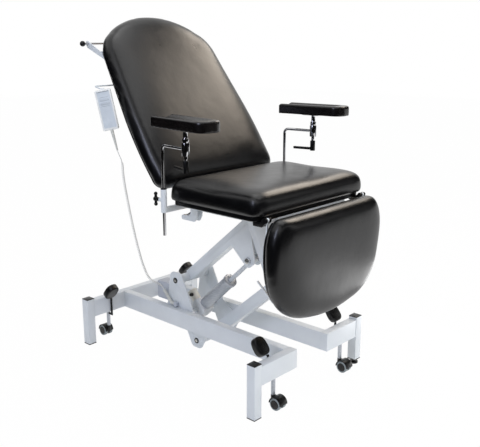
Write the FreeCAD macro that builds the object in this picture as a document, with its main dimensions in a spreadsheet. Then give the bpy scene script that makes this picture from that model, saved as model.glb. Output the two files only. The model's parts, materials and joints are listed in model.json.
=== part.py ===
import FreeCAD, Part
import math
import os
import re
import Sketcher

# A phlebotomy chair: base frame, parallel lifting arms driven by a linear actuator, seat, reclining back,
# folding leg rest, swinging armrests, paper roll rod, wired handset and four pedal-operated castors.
# Millimetres. X runs across the chair (+X is the sitter's left), -Y is the front, +Z is up.

doc = FreeCAD.newDocument("phlebotomy_chair")
sheet = doc.addObject("Spreadsheet::Sheet", "Sizes")

SIZES = {
    # whole chair
    "frame_setback": 35.3,
    "running_clearance": 0.1,
    "side_clearance": 0.5,
    "cut_overrun": 5.0,
    # base
    "base_width": 706.0,
    "base_depth": 1073.0,
    "leg_size": 40.0,
    "leg_wall": 2.5,
    "leg_top": 220.0,
    "leg_cap": 3.0,
    "leg_insert": 4.0,
    "cap_plug": 12.0,
    "short_leg_lift": 20.0,
    "rail_gap": 200.0,
    "rail_width": 36.4,
    "rail_height": 77.0,
    "rail_bottom": 133.0,
    "rail_wall": 2.0,
    "cross_width": 37.5,
    "foot_radius": 19.0,
    "foot_thickness": 8.0,
    "foot_screw_radius": 5.0,
    "foot_screw_top": 60.0,
    # lift linkage
    "upper_pivot_y": 167.6,
    "upper_pivot_z": 332.4,
    "lower_pivot_y": 34.8,
    "lower_pivot_z": 79.0,
    "arm_length": 544.0,
    "arm_rise": 353.667,
    "arm_size": 50.0,
    "arm_wall": 3.0,
    "arm_inset": 10.0,
    "bush_radius": 20.0,
    "pivot_bolt_radius": 8.0,
    "bolt_head_radius": 14.0,
    "bolt_head": 8.0,
    "lift_plate": 6.0,
    "lift_plate_rear": 225.0,
    "lift_plate_front": -50.0,
    "lift_plate_foot": 46.0,
    "lift_plate_top": 372.0,
    "plate_top_round": 28.0,
    "plate_foot_round": 25.0,
    "spacer_radius": 12.0,
    "hanger_plate": 6.0,
    "hanger_half_gap": 56.0,
    "hanger_round": 13.0,
    # actuator
    "actuator_pin_y": 108.0,
    "actuator_pin_z": 188.0,
    "clevis_back": 152.0,
    "clevis_drop": 128.0,
    "clevis_plate": 6.0,
    "clevis_rear_reach": 46.0,
    "clevis_front_reach": 96.0,
    "clevis_edge": 32.0,
    "clevis_round": 28.0,
    "clevis_corner": 22.4,
    "clevis_play": 6.0,
    "rod_bolt_radius": 6.0,
    "rod_head_radius": 14.0,
    "gearbox_width": 60.0,
    "gearbox_rear": 34.0,
    "gearbox_front": 46.0,
    "gearbox_depth": 76.0,
    "gearbox_round": 15.0,
    "motor_radius": 22.0,
    "motor_reach": 92.0,
    "motor_along": 6.0,
    "motor_lip": 4.0,
    "tube_radius": 28.0,
    "tube_end": 262.0,
    "tube_collar": 14.0,
    "tube_collar_lip": 3.0,
    "tube_wall": 8.0,
    "rod_radius": 10.0,
    "rod_inner_end": 150.0,
    "rod_eye_radius": 16.0,
    # control box on the right-hand lift plate
    "box_width": 58.0,
    "box_front": 204.0,
    "box_rear": 298.0,
    "box_bottom": 222.0,
    "box_top": 305.0,
    "box_round": 6.0,
    "socket_size": 18.0,
    "socket_y": 156.0,
    "socket_z": 224.0,
    "plug_radius": 7.0,
    "plug_bend": 14.0,
    "plug_knee_share": 0.3,
    "plug_top_y": 236.0,
    "plug_top_z": 275.0,
    # seat
    "seat_frame_top": 760.0,
    "seat_frame_height": 40.0,
    "seat_tube_width": 25.0,
    "seat_tube_wall": 2.0,
    "seat_tube_x": 200.0,
    "seat_tube_front": -520.0,
    "seat_tube_rear": -20.0,
    "seat_rear_cross": -95.0,
    "seat_mid_cross": -245.0,
    "seat_fore_cross": -330.0,
    "seat_board": 16.0,
    "board_inset": 14.0,
    "seat_half_width": 341.0,
    "seat_front": -536.0,
    "seat_rear": -68.0,
    "seat_thickness": 92.0,
    "seat_crown": 4.0,
    "cushion_low_round": 12.0,
    "cushion_round": 38.0,
    # back hinge and back
    "hinge_y": 8.0,
    "hinge_z": 745.0,
    "back_tilt": 55.0,
    "hinge_shaft_radius": 8.0,
    "hinge_tube_radius": 12.5,
    "hinge_ear": 6.0,
    "hinge_ear_radius": 17.0,
    "hinge_ear_round": 13.6,
    "hinge_tube_half": 205.5,
    "back_tube": 25.0,
    "back_tube_x": 180.0,
    "back_tube_lift": 1.0,
    "back_tube_end": 720.0,
    "back_low_cross": 20.0,
    "back_mid_cross": 330.0,
    "back_top_cross": 690.0,
    "back_board": 14.0,
    "back_half_width": 345.0,
    "back_low_end": 41.0,
    "back_top_end": 849.0,
    "back_thickness": 76.0,
    "back_crown": 5.0,
    # back lever and gas spring
    "lever_x": 80.0,
    "lever_half_gap": 12.5,
    "lever_plate": 4.0,
    "lever_root_y": 4.8,
    "lever_root_z": 17.6,
    "lever_crest_y": 23.2,
    "lever_crest_z": 45.6,
    "lever_inner": 16.0,
    "lever_width": 41.0,
    "lever_shoulder": 4.8,
    "lever_heel_y": 30.4,
    "lever_heel_rise": 15.0,
    "lever_boss_y": 103.0,
    "lever_boss_drop": 108.0,
    "lever_boss_radius": 10.5,
    "lever_throat_round": 18.0,
    "lever_heel_round": 12.0,
    "lever_boss_round": 9.5,
    "gas_anchor_y": -50.0,
    "gas_anchor_z": 745.0,
    "gas_pin_radius": 4.0,
    "gas_play": 4.5,
    "gas_lug": 5.0,
    "gas_lug_gap": 1.0,
    "gas_lug_radius": 10.0,
    "gas_cylinder_radius": 11.5,
    "gas_cylinder_start": 5.0,
    "gas_cylinder_end": 122.0,
    "gas_bore_start": 20.0,
    "gas_rod_radius": 5.0,
    "gas_rod_inner": 78.0,
    "gas_eye_radius": 11.5,
    "gas_eye_half": 8.0,
    "gas_neck": 17.0,
    # paper roll holder
    "roll_arm_x": 270.0,
    "roll_arm_plate": 5.0,
    "roll_arm_width": 28.0,
    "roll_arm_round": 8.4,
    "roll_arm_front_share": 0.2,
    "roll_arm_heel_share": 0.8,
    "roll_axis_along": 796.4,
    "roll_axis_behind": 44.2,
    "roll_foot_along": 640.0,
    "roll_foot_length": 70.0,
    "roll_foot_width": 30.0,
    "roll_foot": 4.0,
    "roll_rod_radius": 5.0,
    "roll_ball_radius": 12.0,
    "roll_ball_x": 300.0,
    # handset and its wire
    "handset_x": 375.0,
    "handset_y": 252.0,
    "handset_z": 1111.7,
    "handset_width": 64.0,
    "handset_height": 164.0,
    "handset_depth": 24.0,
    "handset_round": 6.0,
    "handset_edge": 3.0,
    "handset_turn": 43.0,
    "handset_lean": 10.6,
    "hook_width": 16.0,
    "hook_height": 7.0,
    "hook_depth": 7.0,
    "key_width": 34.0,
    "key_height": 6.0,
    "key_depth": 4.0,
    "key_proud": 1.5,
    "key_gap": 0.3,
    "key_up_z": 42.0,
    "key_down_z": 27.0,
    "wire_radius": 3.0,
    "wire_along": 552.0,
    "wire_level": 13.0,
    "wire_x": 386.0,
    "wire_end_along": 518.0,
    "wire_end_level": 44.0,
    "wire_bend": 12.0,
    "relief_x": 364.0,
    "relief_y": 240.0,
    "relief_z": 1029.0,
    "relief_length": 85.0,
    "relief_radius": 8.0,
    "relief_tip_radius": 5.5,
    "relief_angle": 21.7,
    "cord_radius": 5.5,
    "cord_bend_share": 0.45,
    "cord_straight": 14.0,
    "plug_straight": 30.0,
    # leg rest
    "leg_hinge_y": -545.0,
    "leg_hinge_z": 771.0,
    "leg_eye_radius": 7.0,
    "leg_pin_radius": 3.5,
    "leg_hinge_x": 300.0,
    "leg_eye_width": 8.0,
    "leg_eye_round": 6.3,
    "cheek_gap": 1.0,
    "cheek_width": 10.0,
    "hinge_block_rear": -490.0,
    "hinge_block_height": 16.0,
    "hinge_block_nose": 14.0,
    "hinge_bridge": 21.0,
    "leaf_thickness": 6.0,
    "leaf_offset": 2.0,
    "leaf_end": 640.0,
    "leg_board": 14.0,
    "leg_board_top": 757.5,
    "leg_half_width": 339.0,
    "rest_top": 776.0,
    "rest_bottom": 355.0,
    "leg_thickness": 76.0,
    "leg_crown": 4.0,
    "pull_rod_radius": 4.0,
    "pull_rod_x": 287.0,
    "pull_rod_root_x": 235.0,
    "pull_rod_z": 437.0,
    "pull_rod_reach": 25.0,
    "pull_rod_tip_y": -490.0,
    "pull_rod_tip_z": 528.0,
    "pull_rod_bend": 10.0,
    # armrests
    "sleeve_x": 368.0,
    "sleeve_y": -75.0,
    "sleeve_bottom": 735.0,
    "sleeve_top": 827.0,
    "sleeve_radius": 12.0,
    "sleeve_bore": 10.0,
    "socket_bar": 20.0,
    "bush_flange": 4.0,
    "knob_z": 783.0,
    "knob_boss_radius": 8.0,
    "knob_boss": 12.0,
    "knob_stem_radius": 4.0,
    "knob_face_y": -37.0,
    "knob_hub_radius": 9.0,
    "knob_hub": 18.0,
    "knob_span": 44.0,
    "knob_lobe": 14.0,
    "knob_lobe_round": 6.3,
    "pole_radius": 6.5,
    "pole_bottom": 643.0,
    "pole_top": 998.0,
    "pole_bend": 20.0,
    "clamp_x": 385.0,
    "clamp_y": -222.0,
    "clamp_radius": 15.0,
    "clamp_bottom": 974.0,
    "clamp_top": 1022.0,
    "clamp_slit": 4.0,
    "neck_bottom": 955.0,
    "neck_radius": 7.0,
    "post_radius": 9.0,
    "post_collar_radius": 13.0,
    "post_collar": 16.0,
    "lever_hub_bottom": 911.0,
    "lever_hub_radius": 11.0,
    "lever_stem_radius": 3.5,
    "lever_stem": 12.0,
    "lever_reach": 92.0,
    "lever_thickness": 10.0,
    "lever_grip_rise": 4.0,
    "lever_grip_width": 15.0,
    "lever_grip_tip": 11.0,
    "lever_grip_round": 5.0,
    "lever_turn": 15.0,
    "pad_bottom": 1072.0,
    "pad_thickness": 42.0,
    "pad_width": 110.0,
    "pad_rear": 147.0,
    "pad_front": 163.0,
    "pad_round": 45.0,
    "pad_edge": 8.0,
    "pad_yaw": 7.0,
    "trough_radius": 62.0,
    "trough_depth": 12.0,
    "trough_front": 118.0,
    "pad_plate": 4.0,
    "pad_plate_length": 80.0,
    "pad_plate_width": 60.0,
    # castors
    "castor_inset": 131.0,
    "stem_radius": 8.5,
    "stem_bottom": 58.0,
    "stem_top": 190.0,
    "stem_guide_wall": 3.0,
    "swivel_pin_radius": 5.0,
    "swivel_pin": 10.0,
    "castor_trail": 25.0,
    "castor_axle_z": 29.0,
    "wheel_radius": 25.0,
    "wheel_width": 15.0,
    "tread": 6.0,
    "web_width": 12.0,
    "axle_radius": 4.0,
    "hood_clearance": 1.5,
    "hood_wall": 2.5,
    "fork_neck_radius": 9.0,
    "pedal_side": 17.0,
    "pedal_y": 463.0,
    "pedal_z": 245.0,
    "pedal_lean": 38.0,
    "pedal_width": 62.0,
    "pedal_length": 78.0,
    "pedal_thickness": 32.0,
    "pedal_round": 16.0,
    "pedal_edge": 8.0,
    "pedal_grip_share": 0.25,
    "pedal_rod_radius": 5.0,
    "pedal_rod_gap": 4.0,
    "pedal_rod_foot": 120.0,
}

DERIVED = {
    "half_width": "base_width / 2",
    "half_depth": "base_depth / 2",
    "leg_inner_x": "half_width - leg_size",
    "leg_x": "half_width - leg_size / 2",
    "leg_y": "half_depth - leg_size / 2",
    "cross_rear": "leg_y + cross_width / 2",
    "cross_front": "leg_y - cross_width / 2",
    "rail_top": "rail_bottom + rail_height",
    "rail_inner": "rail_gap / 2",
    "rail_outer": "rail_gap / 2 + rail_width",
    "lift_plate_inner": "rail_inner - lift_plate",
    "arm_half": "arm_size / 2",
    "arm_angle": "asin(arm_rise / arm_length)",
    "clevis_along": "arm_length - clevis_back",
    "upper_bush_half": "lift_plate_inner - side_clearance",
    "seat_bush_half": "hanger_half_gap - side_clearance",
    "upper_seat_y": "upper_pivot_y - arm_length * cos(arm_angle)",
    "upper_seat_z": "upper_pivot_z + arm_length * sin(arm_angle)",
    "lower_seat_y": "lower_pivot_y - arm_length * cos(arm_angle)",
    "lower_seat_z": "lower_pivot_z + arm_length * sin(arm_angle)",
    "rod_pin_y": "upper_pivot_y - clevis_along * cos(arm_angle) - clevis_drop * sin(arm_angle)",
    "rod_pin_z": "upper_pivot_z + clevis_along * sin(arm_angle) - clevis_drop * cos(arm_angle)",
    "actuator_length": "sqrt((rod_pin_y - actuator_pin_y)^2 + (rod_pin_z - actuator_pin_z)^2)",
    "actuator_angle": "atan2(rod_pin_z - actuator_pin_z; rod_pin_y - actuator_pin_y)",
    "seat_frame_bottom": "seat_frame_top - seat_frame_height",
    "seat_tube_in": "seat_tube_x - seat_tube_width / 2",
    "seat_tube_out": "seat_tube_x + seat_tube_width / 2",
    "cushion_bottom": "seat_frame_top + seat_board",
    "board_low": "back_tube_lift + back_tube",
    "back_cushion_low": "board_low + back_board",
    "back_tube_in": "back_tube_x - back_tube / 2",
    "back_tube_out": "back_tube_x + back_tube / 2",
    "gas_y": "hinge_y + lever_boss_y",
    "gas_z": "hinge_z - lever_boss_drop",
    "gas_length": "sqrt((gas_y - gas_anchor_y)^2 + (gas_z - gas_anchor_z)^2)",
    "gas_angle": "atan2(gas_anchor_z - gas_z; gas_y - gas_anchor_y)",
    "relief_tip_y": "relief_y - relief_length * sin(relief_angle)",
    "relief_tip_z": "relief_z - relief_length * cos(relief_angle)",
    "leg_board_front": "leg_hinge_y - leaf_offset - leg_board",
    "leg_board_rear": "leg_hinge_y - leaf_offset",
    "cheek_in": "leg_hinge_x - leg_eye_width / 2 - cheek_gap",
    "cheek_out": "leg_hinge_x + leg_eye_width / 2 + cheek_gap",
    "bush_radius_out": "sleeve_bore - running_clearance",
    "castor_x": "half_width - castor_inset",
    "pedal_x": "castor_x + pedal_side",
    "pedal_rod_y": "cross_front - pedal_rod_radius - pedal_rod_gap",
    "wheel_in": "web_width / 2 + side_clearance",
    "wheel_out": "web_width / 2 + side_clearance + wheel_width",
    "hood_bore": "wheel_radius + hood_clearance",
    "hood_radius": "wheel_radius + hood_clearance + hood_wall",
}

V = FreeCAD.Vector
WORD = re.compile(r"[A-Za-z_][A-Za-z_0-9]*")

for row, (name, size) in enumerate(SIZES.items(), start=1):
    sheet.set(f"A{row}", name)
    sheet.set(f"B{row}", str(size))
    sheet.setAlias(f"B{row}", name)
doc.recompute()


def bound(text):
    """An expression over the sheet, from one written with size names and derived names."""
    def swap(match):
        word = match.group()
        if word in DERIVED:
            return "(" + bound(DERIVED[word]) + ")"
        if word in SIZES:
            return "Sizes." + word
        return word
    return WORD.sub(swap, str(text))


def value(text):
    """The number that such an expression stands for, read from the sheet."""
    answer = sheet.evalExpression(bound(text))
    return float(getattr(answer, "Value", answer))


def spot(x, y, z):
    return V(value(x), value(y), value(z))


def block(x, y, z):
    """A box from (low, high) pairs."""
    box = doc.addObject("Part::Box", "block")
    for axis, side, (low, high) in zip("xyz", ("Length", "Width", "Height"), (x, y, z)):
        box.setExpression("Placement.Base." + axis, bound(low))
        box.setExpression(side, bound(f"({high}) - ({low})"))
    return box


TURNS = {
    "x": FreeCAD.Rotation(V(0, 1, 0), 90),
    "y": FreeCAD.Rotation(V(1, 0, 0), -90),
    "z": FreeCAD.Rotation(),
}


def rod(axis, start, radius, length):
    """A round bar from a start point along +axis."""
    bar = doc.addObject("Part::Cylinder", "rod")
    bar.Placement = FreeCAD.Placement(V(), TURNS[axis])
    for name, place in zip("xyz", start):
        bar.setExpression("Placement.Base." + name, bound(place))
    bar.setExpression("Radius", bound(radius))
    bar.setExpression("Height", bound(length))
    return bar


def axle(y, z, radius, half):
    """A round bar across the chair, centred on x = 0."""
    return rod("x", (f"-({half})", y, z), radius, f"2 * ({half})")


def taper(axis, start, radius, far_radius, length):
    cone = doc.addObject("Part::Cone", "taper")
    cone.Placement = FreeCAD.Placement(V(), TURNS[axis])
    for name, place in zip("xyz", start):
        cone.setExpression("Placement.Base." + name, bound(place))
    cone.setExpression("Radius1", bound(radius))
    cone.setExpression("Radius2", bound(far_radius))
    cone.setExpression("Height", bound(length))
    return cone


def ball(centre, radius):
    sphere = doc.addObject("Part::Sphere", "ball")
    for name, place in zip("xyz", centre):
        sphere.setExpression("Placement.Base." + name, bound(place))
    sphere.setExpression("Radius", bound(radius))
    return sphere


def fuse(*shapes):
    joined = doc.addObject("Part::MultiFuse", "joined")
    joined.Shapes = list(shapes)
    return joined


def cut(base, *tools):
    rest = doc.addObject("Part::Cut", "rest")
    rest.Base = base
    rest.Tool = tools[0] if len(tools) == 1 else fuse(*tools)
    return rest


def mirrored(shape, normal=V(1, 0, 0)):
    copy = doc.addObject("Part::Mirroring", "mirrored")
    copy.Source = shape
    copy.Normal = normal
    return copy


def both_sides(shape):
    return fuse(shape, mirrored(shape))


def tilt(shape, direction, angle):
    """Turns a shape about an axis through its own origin; the direction's sign gives the sense."""
    shape.Placement = FreeCAD.Placement(V(), FreeCAD.Rotation(direction, 1))
    shape.setExpression("Placement.Rotation.Angle", bound(angle))
    return shape


def box_tube(x, y, z, wall, along, ends=("0", "0")):
    """A rectangular tube along one axis; ends give how thick each end is closed."""
    inner = []
    for axis, (low, high) in zip("xyz", (x, y, z)):
        if axis != along:
            inner.append((f"({low}) + {wall}", f"({high}) - {wall}"))
            continue
        first = f"({low}) + {ends[0]}" if ends[0] != "0" else f"({low}) - cut_overrun"
        last = f"({high}) - {ends[1]}" if ends[1] != "0" else f"({high}) + cut_overrun"
        inner.append((first, last))
    return cut(block(x, y, z), block(*inner))


def prism(plane, outline, start, depth, rounds=(), holes=(), rim=None):
    """A plate sketched on one of the origin planes and padded along its normal.

    The outline is a list of corners in the plane, rounds are (corner numbers, radius) pairs,
    holes are (first, second, radius), and rim rounds the edges of the far face.
    """
    body = doc.addObject("PartDesign::Body", "plate")
    sketch = body.newObject("Sketcher::SketchObject", "outline")
    origin_plane = [item for item in body.Origin.OriginFeatures if item.Role == plane][0]
    sketch.AttachmentSupport = [(origin_plane, "")]
    sketch.MapMode = "FlatFace"
    sketch.setExpression("AttachmentOffset.Base.z", bound(start))
    corners = [V(value(first), value(second), 0) for first, second in outline]
    count = len(corners)
    for number in range(count):
        sketch.addGeometry(Part.LineSegment(corners[number], corners[(number + 1) % count]))
    for number in range(count):
        sketch.addConstraint(Sketcher.Constraint("Coincident", number, 2, (number + 1) % count, 1))
    for number, (first, second) in enumerate(outline):
        for kind, text, size in (("DistanceX", first, corners[number].x), ("DistanceY", second, corners[number].y)):
            index = sketch.addConstraint(Sketcher.Constraint(kind, -1, 1, number, 1, size))
            sketch.setExpression(f"Constraints[{index}]", bound(text))
    for first, second, radius in holes:
        centre = V(value(first), value(second), 0)
        circle = sketch.addGeometry(Part.Circle(centre, V(0, 0, 1), value(radius)))
        for kind, text, size in (("DistanceX", first, centre.x), ("DistanceY", second, centre.y)):
            index = sketch.addConstraint(Sketcher.Constraint(kind, -1, 1, circle, 3, size))
            sketch.setExpression(f"Constraints[{index}]", bound(text))
        index = sketch.addConstraint(Sketcher.Constraint("Radius", circle, value(radius)))
        sketch.setExpression(f"Constraints[{index}]", bound(radius))
    pad = body.newObject("PartDesign::Pad", "pad")
    pad.Profile = sketch
    pad.setExpression("Length", bound(depth))
    doc.recompute()
    last = pad
    for numbers, radius in rounds:
        last = rounded(body, last, sketch, [corners[number] for number in numbers], radius)
    if rim:
        last = rim_rounded(body, last, sketch, depth, rim)
    return body


def rounded(body, last, sketch, corners, radius):
    """Fillets the edges that stand square to the sketch at the given corners."""
    places = [sketch.Placement.multVec(corner) for corner in corners]
    normal = sketch.Placement.Rotation.multVec(V(0, 0, 1))
    names = []
    for number, edge in enumerate(last.Shape.Edges, start=1):
        if not isinstance(edge.Curve, Part.Line):
            continue
        if abs(edge.tangentAt(edge.FirstParameter).dot(normal)) < 1 - 1e-6:
            continue
        middle = edge.CenterOfMass
        for place in places:
            offset = middle - place
            if (offset - normal * offset.dot(normal)).Length < 1e-3:
                names.append(f"Edge{number}")
    fillet = body.newObject("PartDesign::Fillet", "corner_rounds")
    fillet.Base = (last, names)
    fillet.setExpression("Radius", bound(radius))
    body.Tip = fillet
    doc.recompute()
    return fillet


def rim_rounded(body, last, sketch, depth, radius):
    """Fillets the edges of the face that lies the pad's depth away from the sketch."""
    normal = sketch.Placement.Rotation.multVec(V(0, 0, 1))
    level = sketch.Placement.Base.dot(normal) + value(depth)
    names = []
    for number, edge in enumerate(last.Shape.Edges, start=1):
        heights = [vertex.Point.dot(normal) for vertex in edge.Vertexes]
        heights.append(edge.CenterOfMass.dot(normal))
        if all(abs(height - level) < 1e-3 for height in heights):
            names.append(f"Edge{number}")
    fillet = body.newObject("PartDesign::Fillet", "rim_rounds")
    fillet.Base = (last, names)
    fillet.setExpression("Radius", bound(radius))
    body.Tip = fillet
    doc.recompute()
    return fillet


def solid_of(shape):
    """A Part::Feature for a shape that Part's own functions made."""
    feature = doc.addObject("Part::Feature", "form")
    feature.Shape = shape
    return feature


def bent_path(points, bends):
    """Straight runs joined by tangent arcs; bends gives the radius at each inner point."""
    edges = []
    start = points[0]
    for number in range(1, len(points) - 1):
        corner = points[number]
        before = (points[number - 1] - corner).normalize()
        after = (points[number + 1] - corner).normalize()
        turn = math.pi - before.getAngle(after)
        reach = bends[number - 1] * math.tan(turn / 2)
        first = corner + before * reach
        last = corner + after * reach
        inward = (before + after).normalize()
        middle = corner + inward * (reach / math.sin(turn / 2) * (1 - math.cos(turn / 2)))
        edges.append(Part.LineSegment(start, first).toShape())
        edges.append(Part.Arc(first, middle, last).toShape())
        start = last
    edges.append(Part.LineSegment(start, points[-1]).toShape())
    return Part.Wire(edges)


def bent_rod(points, radius, bends):
    path = bent_path(points, bends)
    ring = Part.Wire([Part.Circle(points[0], points[1] - points[0], radius).toShape()])
    return path.makePipeShell([ring], True, False)


def mitred_rod(points, radius):
    """A round bar along straight runs that meet in sharp corners."""
    sweep = Part.BRepOffsetAPI.MakePipeShell(Part.makePolygon(points))
    sweep.setTransitionMode(1)
    sweep.add(Part.Wire([Part.Circle(points[0], points[1] - points[0], radius).toShape()]), False, False)
    sweep.build()
    sweep.makeSolid()
    return sweep.shape()


def cord_bends(points):
    """The largest radius that the runs beside each inner point allow."""
    bends = []
    for number in range(1, len(points) - 1):
        before = points[number - 1] - points[number]
        after = points[number + 1] - points[number]
        turn = math.pi - before.getAngle(after)
        shorter = min(before.Length, after.Length)
        bends.append(value("cord_bend_share") * shorter / math.tan(turn / 2))
    return bends


def outline_wire(spots, inset, half_width, low, high, place):
    """A closed outline of lines and three-point arcs, drawn in by an inset on all sides.

    Each spot is (kind, width share, length share): "corner" ends an edge, "arc" bends the next one.
    """
    middle = (low + high) / 2
    half_length = (high - low) / 2
    points = []
    for kind, across, along in spots:
        x = across * (half_width - inset)
        s = middle + (2 * along - 1) * (half_length - inset)
        points.append((kind, place(x, s)))
    edges = []
    start = points[0][1]
    bend = None
    for kind, point in points[1:] + points[:1]:
        if kind == "arc":
            bend = point
            continue
        if bend is None:
            edges.append(Part.LineSegment(start, point).toShape())
        else:
            edges.append(Part.Arc(start, bend, point).toShape())
        start = point
        bend = None
    return Part.Wire(edges)


SEAT_OUTLINE_SHARES = [
    ("corner", 0.853, 0.0), ("arc", 0.957, 0.031), ("corner", 1.0, 0.107), ("corner", 1.0, 0.957),
    ("arc", 0.983, 0.987), ("corner", 0.941, 1.0),
]
BACK_OUTLINE_SHARES = [
    ("corner", 0.870, 0.0), ("arc", 0.956, 0.016), ("corner", 0.988, 0.055), ("arc", 1.0, 0.172),
    ("corner", 0.980, 0.407), ("corner", 0.881, 0.818), ("arc", 0.835, 0.871), ("corner", 0.713, 0.897),
    ("arc", 0.0, 1.0),
]
LEG_OUTLINE_SHARES = [
    ("arc", 0.0, 0.0), ("corner", 0.443, 0.040), ("arc", 0.773, 0.164), ("corner", 0.941, 0.359),
    ("arc", 0.997, 0.563), ("corner", 0.997, 0.772), ("arc", 0.944, 0.910), ("corner", 0.855, 1.0),
]


def half_to_spots(half):
    """A closed run of spots: the half as given, then its mirror image back to the start."""
    spots = list(half)
    for kind, across, along in reversed(half):
        if across != 0:
            spots.append((kind, -across, along))
    first = next(number for number, spot_ in enumerate(spots) if spot_[0] == "corner")
    return spots[first:] + spots[:first]


LOW_TURNS = (45, 90)
HIGH_TURNS = (0, 22.5, 45, 67.5, 85)
CROWN_SHARES = [(2, 0.6), (4, 1.0)]


def cushion(half, half_width, low, high, thickness, crown, place):
    """A padded form: drawn-in rear edge, straight sides, large front rounding and a crown."""
    low_round = value("cushion_low_round")
    big_round = value("cushion_round")
    levels = [(0, low_round)]
    for turn in LOW_TURNS:
        arc = math.radians(turn)
        levels.append((low_round * (1 - math.cos(arc)), low_round * (1 - math.sin(arc))))
    for turn in HIGH_TURNS:
        arc = math.radians(turn)
        levels.append((thickness - big_round * (1 - math.sin(arc)), big_round * (1 - math.cos(arc))))
    for inset, rise in CROWN_SHARES:
        levels.append((thickness + crown * rise, big_round * inset))
    wires = []
    for level, inset in levels:
        wires.append(outline_wire(half_to_spots(half), inset, half_width, low, high,
                                  lambda x, s, level=level: place(x, s, level)))
    return Part.makeLoft(wires, True, True)


def board(half, half_width, low, high, thickness, place):
    wire = outline_wire(half_to_spots(half), value("board_inset"), half_width, low, high,
                        lambda x, s: place(x, s, 0))
    return Part.Face(wire).extrude(place(0, 0, thickness) - place(0, 0, 0))


NODES = []


def sub_part(shape, name, base=("0", "0", "0")):
    """Names a finished sub-part and gives it its place in the chair's frame."""
    shape.Label = name
    for axis, place in zip("xyz", base):
        extra = " + frame_setback" if axis == "y" else ""
        shape.setExpression("Placement.Base." + axis, bound(place + extra))
    NODES.append(shape)


# Base frame

def base_rails():
    rail = box_tube(("rail_inner", "rail_outer"), ("-cross_front", "cross_front"),
                    ("rail_bottom", "rail_top"), "rail_wall", "y")
    sub_part(both_sides(rail), "base_rails")


def castor_bore(sign):
    place = ("castor_x", f"{sign} * leg_y")
    guide = rod("z", (*place, "rail_bottom"), "stem_radius + running_clearance + stem_guide_wall", "rail_height")
    bore = rod("z", (*place, "rail_bottom - cut_overrun"), "stem_radius + running_clearance",
               "rail_height - rail_wall + cut_overrun")
    return guide, bore


def cross_members():
    height = ("rail_bottom", "rail_top")
    rear = box_tube(("-leg_inner_x", "leg_inner_x"), ("cross_front", "cross_rear"), height, "rail_wall", "x")
    front = box_tube(("rail_inner", "leg_inner_x"), ("-cross_rear", "-cross_front"), height, "rail_wall", "x",
                     ("rail_wall", "0"))
    guides = [castor_bore("1"), castor_bore("-1")]
    rear_guides = both_sides(guides[0][0])
    front_piece = cut(fuse(front, guides[1][0]), guides[1][1])
    rear_piece = cut(fuse(rear, rear_guides), both_sides(guides[0][1]))
    sub_part(fuse(rear_piece, both_sides(front_piece)), "cross_members")


def leg(sign_x, sign_y, foot):
    """One corner post, its two plastic closures and the height of its foot."""
    low_x, high_x = sorted((f"{sign_x} * leg_inner_x", f"{sign_x} * half_width"), key=value)
    low_y, high_y = sorted((f"{sign_y} * (half_depth - leg_size)", f"{sign_y} * half_depth"), key=value)
    post = box_tube((low_x, high_x), (low_y, high_y), (f"{foot} + leg_insert", "leg_top"), "leg_wall", "z")
    plug_x = (f"{low_x} + leg_wall + running_clearance", f"{high_x} - leg_wall - running_clearance")
    plug_y = (f"{low_y} + leg_wall + running_clearance", f"{high_y} - leg_wall - running_clearance")
    top = fuse(block((low_x, high_x), (low_y, high_y), ("leg_top", "leg_top + leg_cap")),
               block(plug_x, plug_y, ("leg_top - cap_plug", "leg_top")))
    foot_cap = fuse(block((low_x, high_x), (low_y, high_y), (foot, f"{foot} + leg_insert")),
                    block(plug_x, plug_y, (f"{foot} + leg_insert", f"{foot} + leg_insert + cap_plug")))
    return post, top, foot_cap


def legs():
    posts = []
    caps = []
    for sign_x in ("-1", "1"):
        for sign_y in ("-1", "1"):
            short = sign_x == "1" and sign_y == "-1"
            post, top, foot_cap = leg(sign_x, sign_y, "short_leg_lift" if short else "0")
            if short:
                screw_hole = rod("z", ("leg_x", "-leg_y", "0"), "foot_screw_radius + running_clearance",
                                 "foot_screw_top + cut_overrun")
                foot_cap = cut(foot_cap, screw_hole)
            posts.append(post)
            caps.extend([top, foot_cap])
    sub_part(fuse(*posts), "leg_posts")
    sub_part(fuse(*caps), "leg_end_caps")
    disc = rod("z", ("leg_x", "-leg_y", "0"), "foot_radius", "foot_thickness")
    screw = rod("z", ("leg_x", "-leg_y", "0"), "foot_screw_radius", "foot_screw_top")
    sub_part(fuse(disc, screw), "levelling_foot")


LIFT_PLATE_SHARES = [
    (0.909, 1.0), (0.655, 1.0), (0.385, 0.518), (0.0, 0.319), (0.211, 0.0), (0.407, 0.0), (0.582, 0.288),
    (1.0, 0.472),
]


def lift_pivot_plates():
    outline = [(f"lift_plate_front + {along} * (lift_plate_rear - lift_plate_front)",
                f"lift_plate_foot + {up} * (lift_plate_top - lift_plate_foot)") for along, up in LIFT_PLATE_SHARES]
    holes = [("upper_pivot_y", "upper_pivot_z", "pivot_bolt_radius"),
             ("lower_pivot_y", "lower_pivot_z", "pivot_bolt_radius")]
    plate = prism("YZ_Plane", outline, "lift_plate_inner", "lift_plate",
                  rounds=[((0, 1), "plate_top_round"), ((4, 5), "plate_foot_round")], holes=holes)
    pin = axle("actuator_pin_y", "actuator_pin_z", "pivot_bolt_radius", "lift_plate_inner + lift_plate / 2")
    spacer = rod("x", ("gearbox_width / 2 + side_clearance", "actuator_pin_y", "actuator_pin_z"), "spacer_radius",
                 "lift_plate_inner + lift_plate / 2 - gearbox_width / 2 - side_clearance")
    sub_part(fuse(both_sides(fuse(plate, spacer)), pin), "lift_pivot_plates")


def through_bolt(y, z, half):
    """A bolt across the chair with a head and a nut outside the plates at the given half width."""
    head = rod("x", (half, y, z), "bolt_head_radius", "bolt_head")
    return fuse(axle(y, z, "pivot_bolt_radius", half), both_sides(head))


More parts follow.
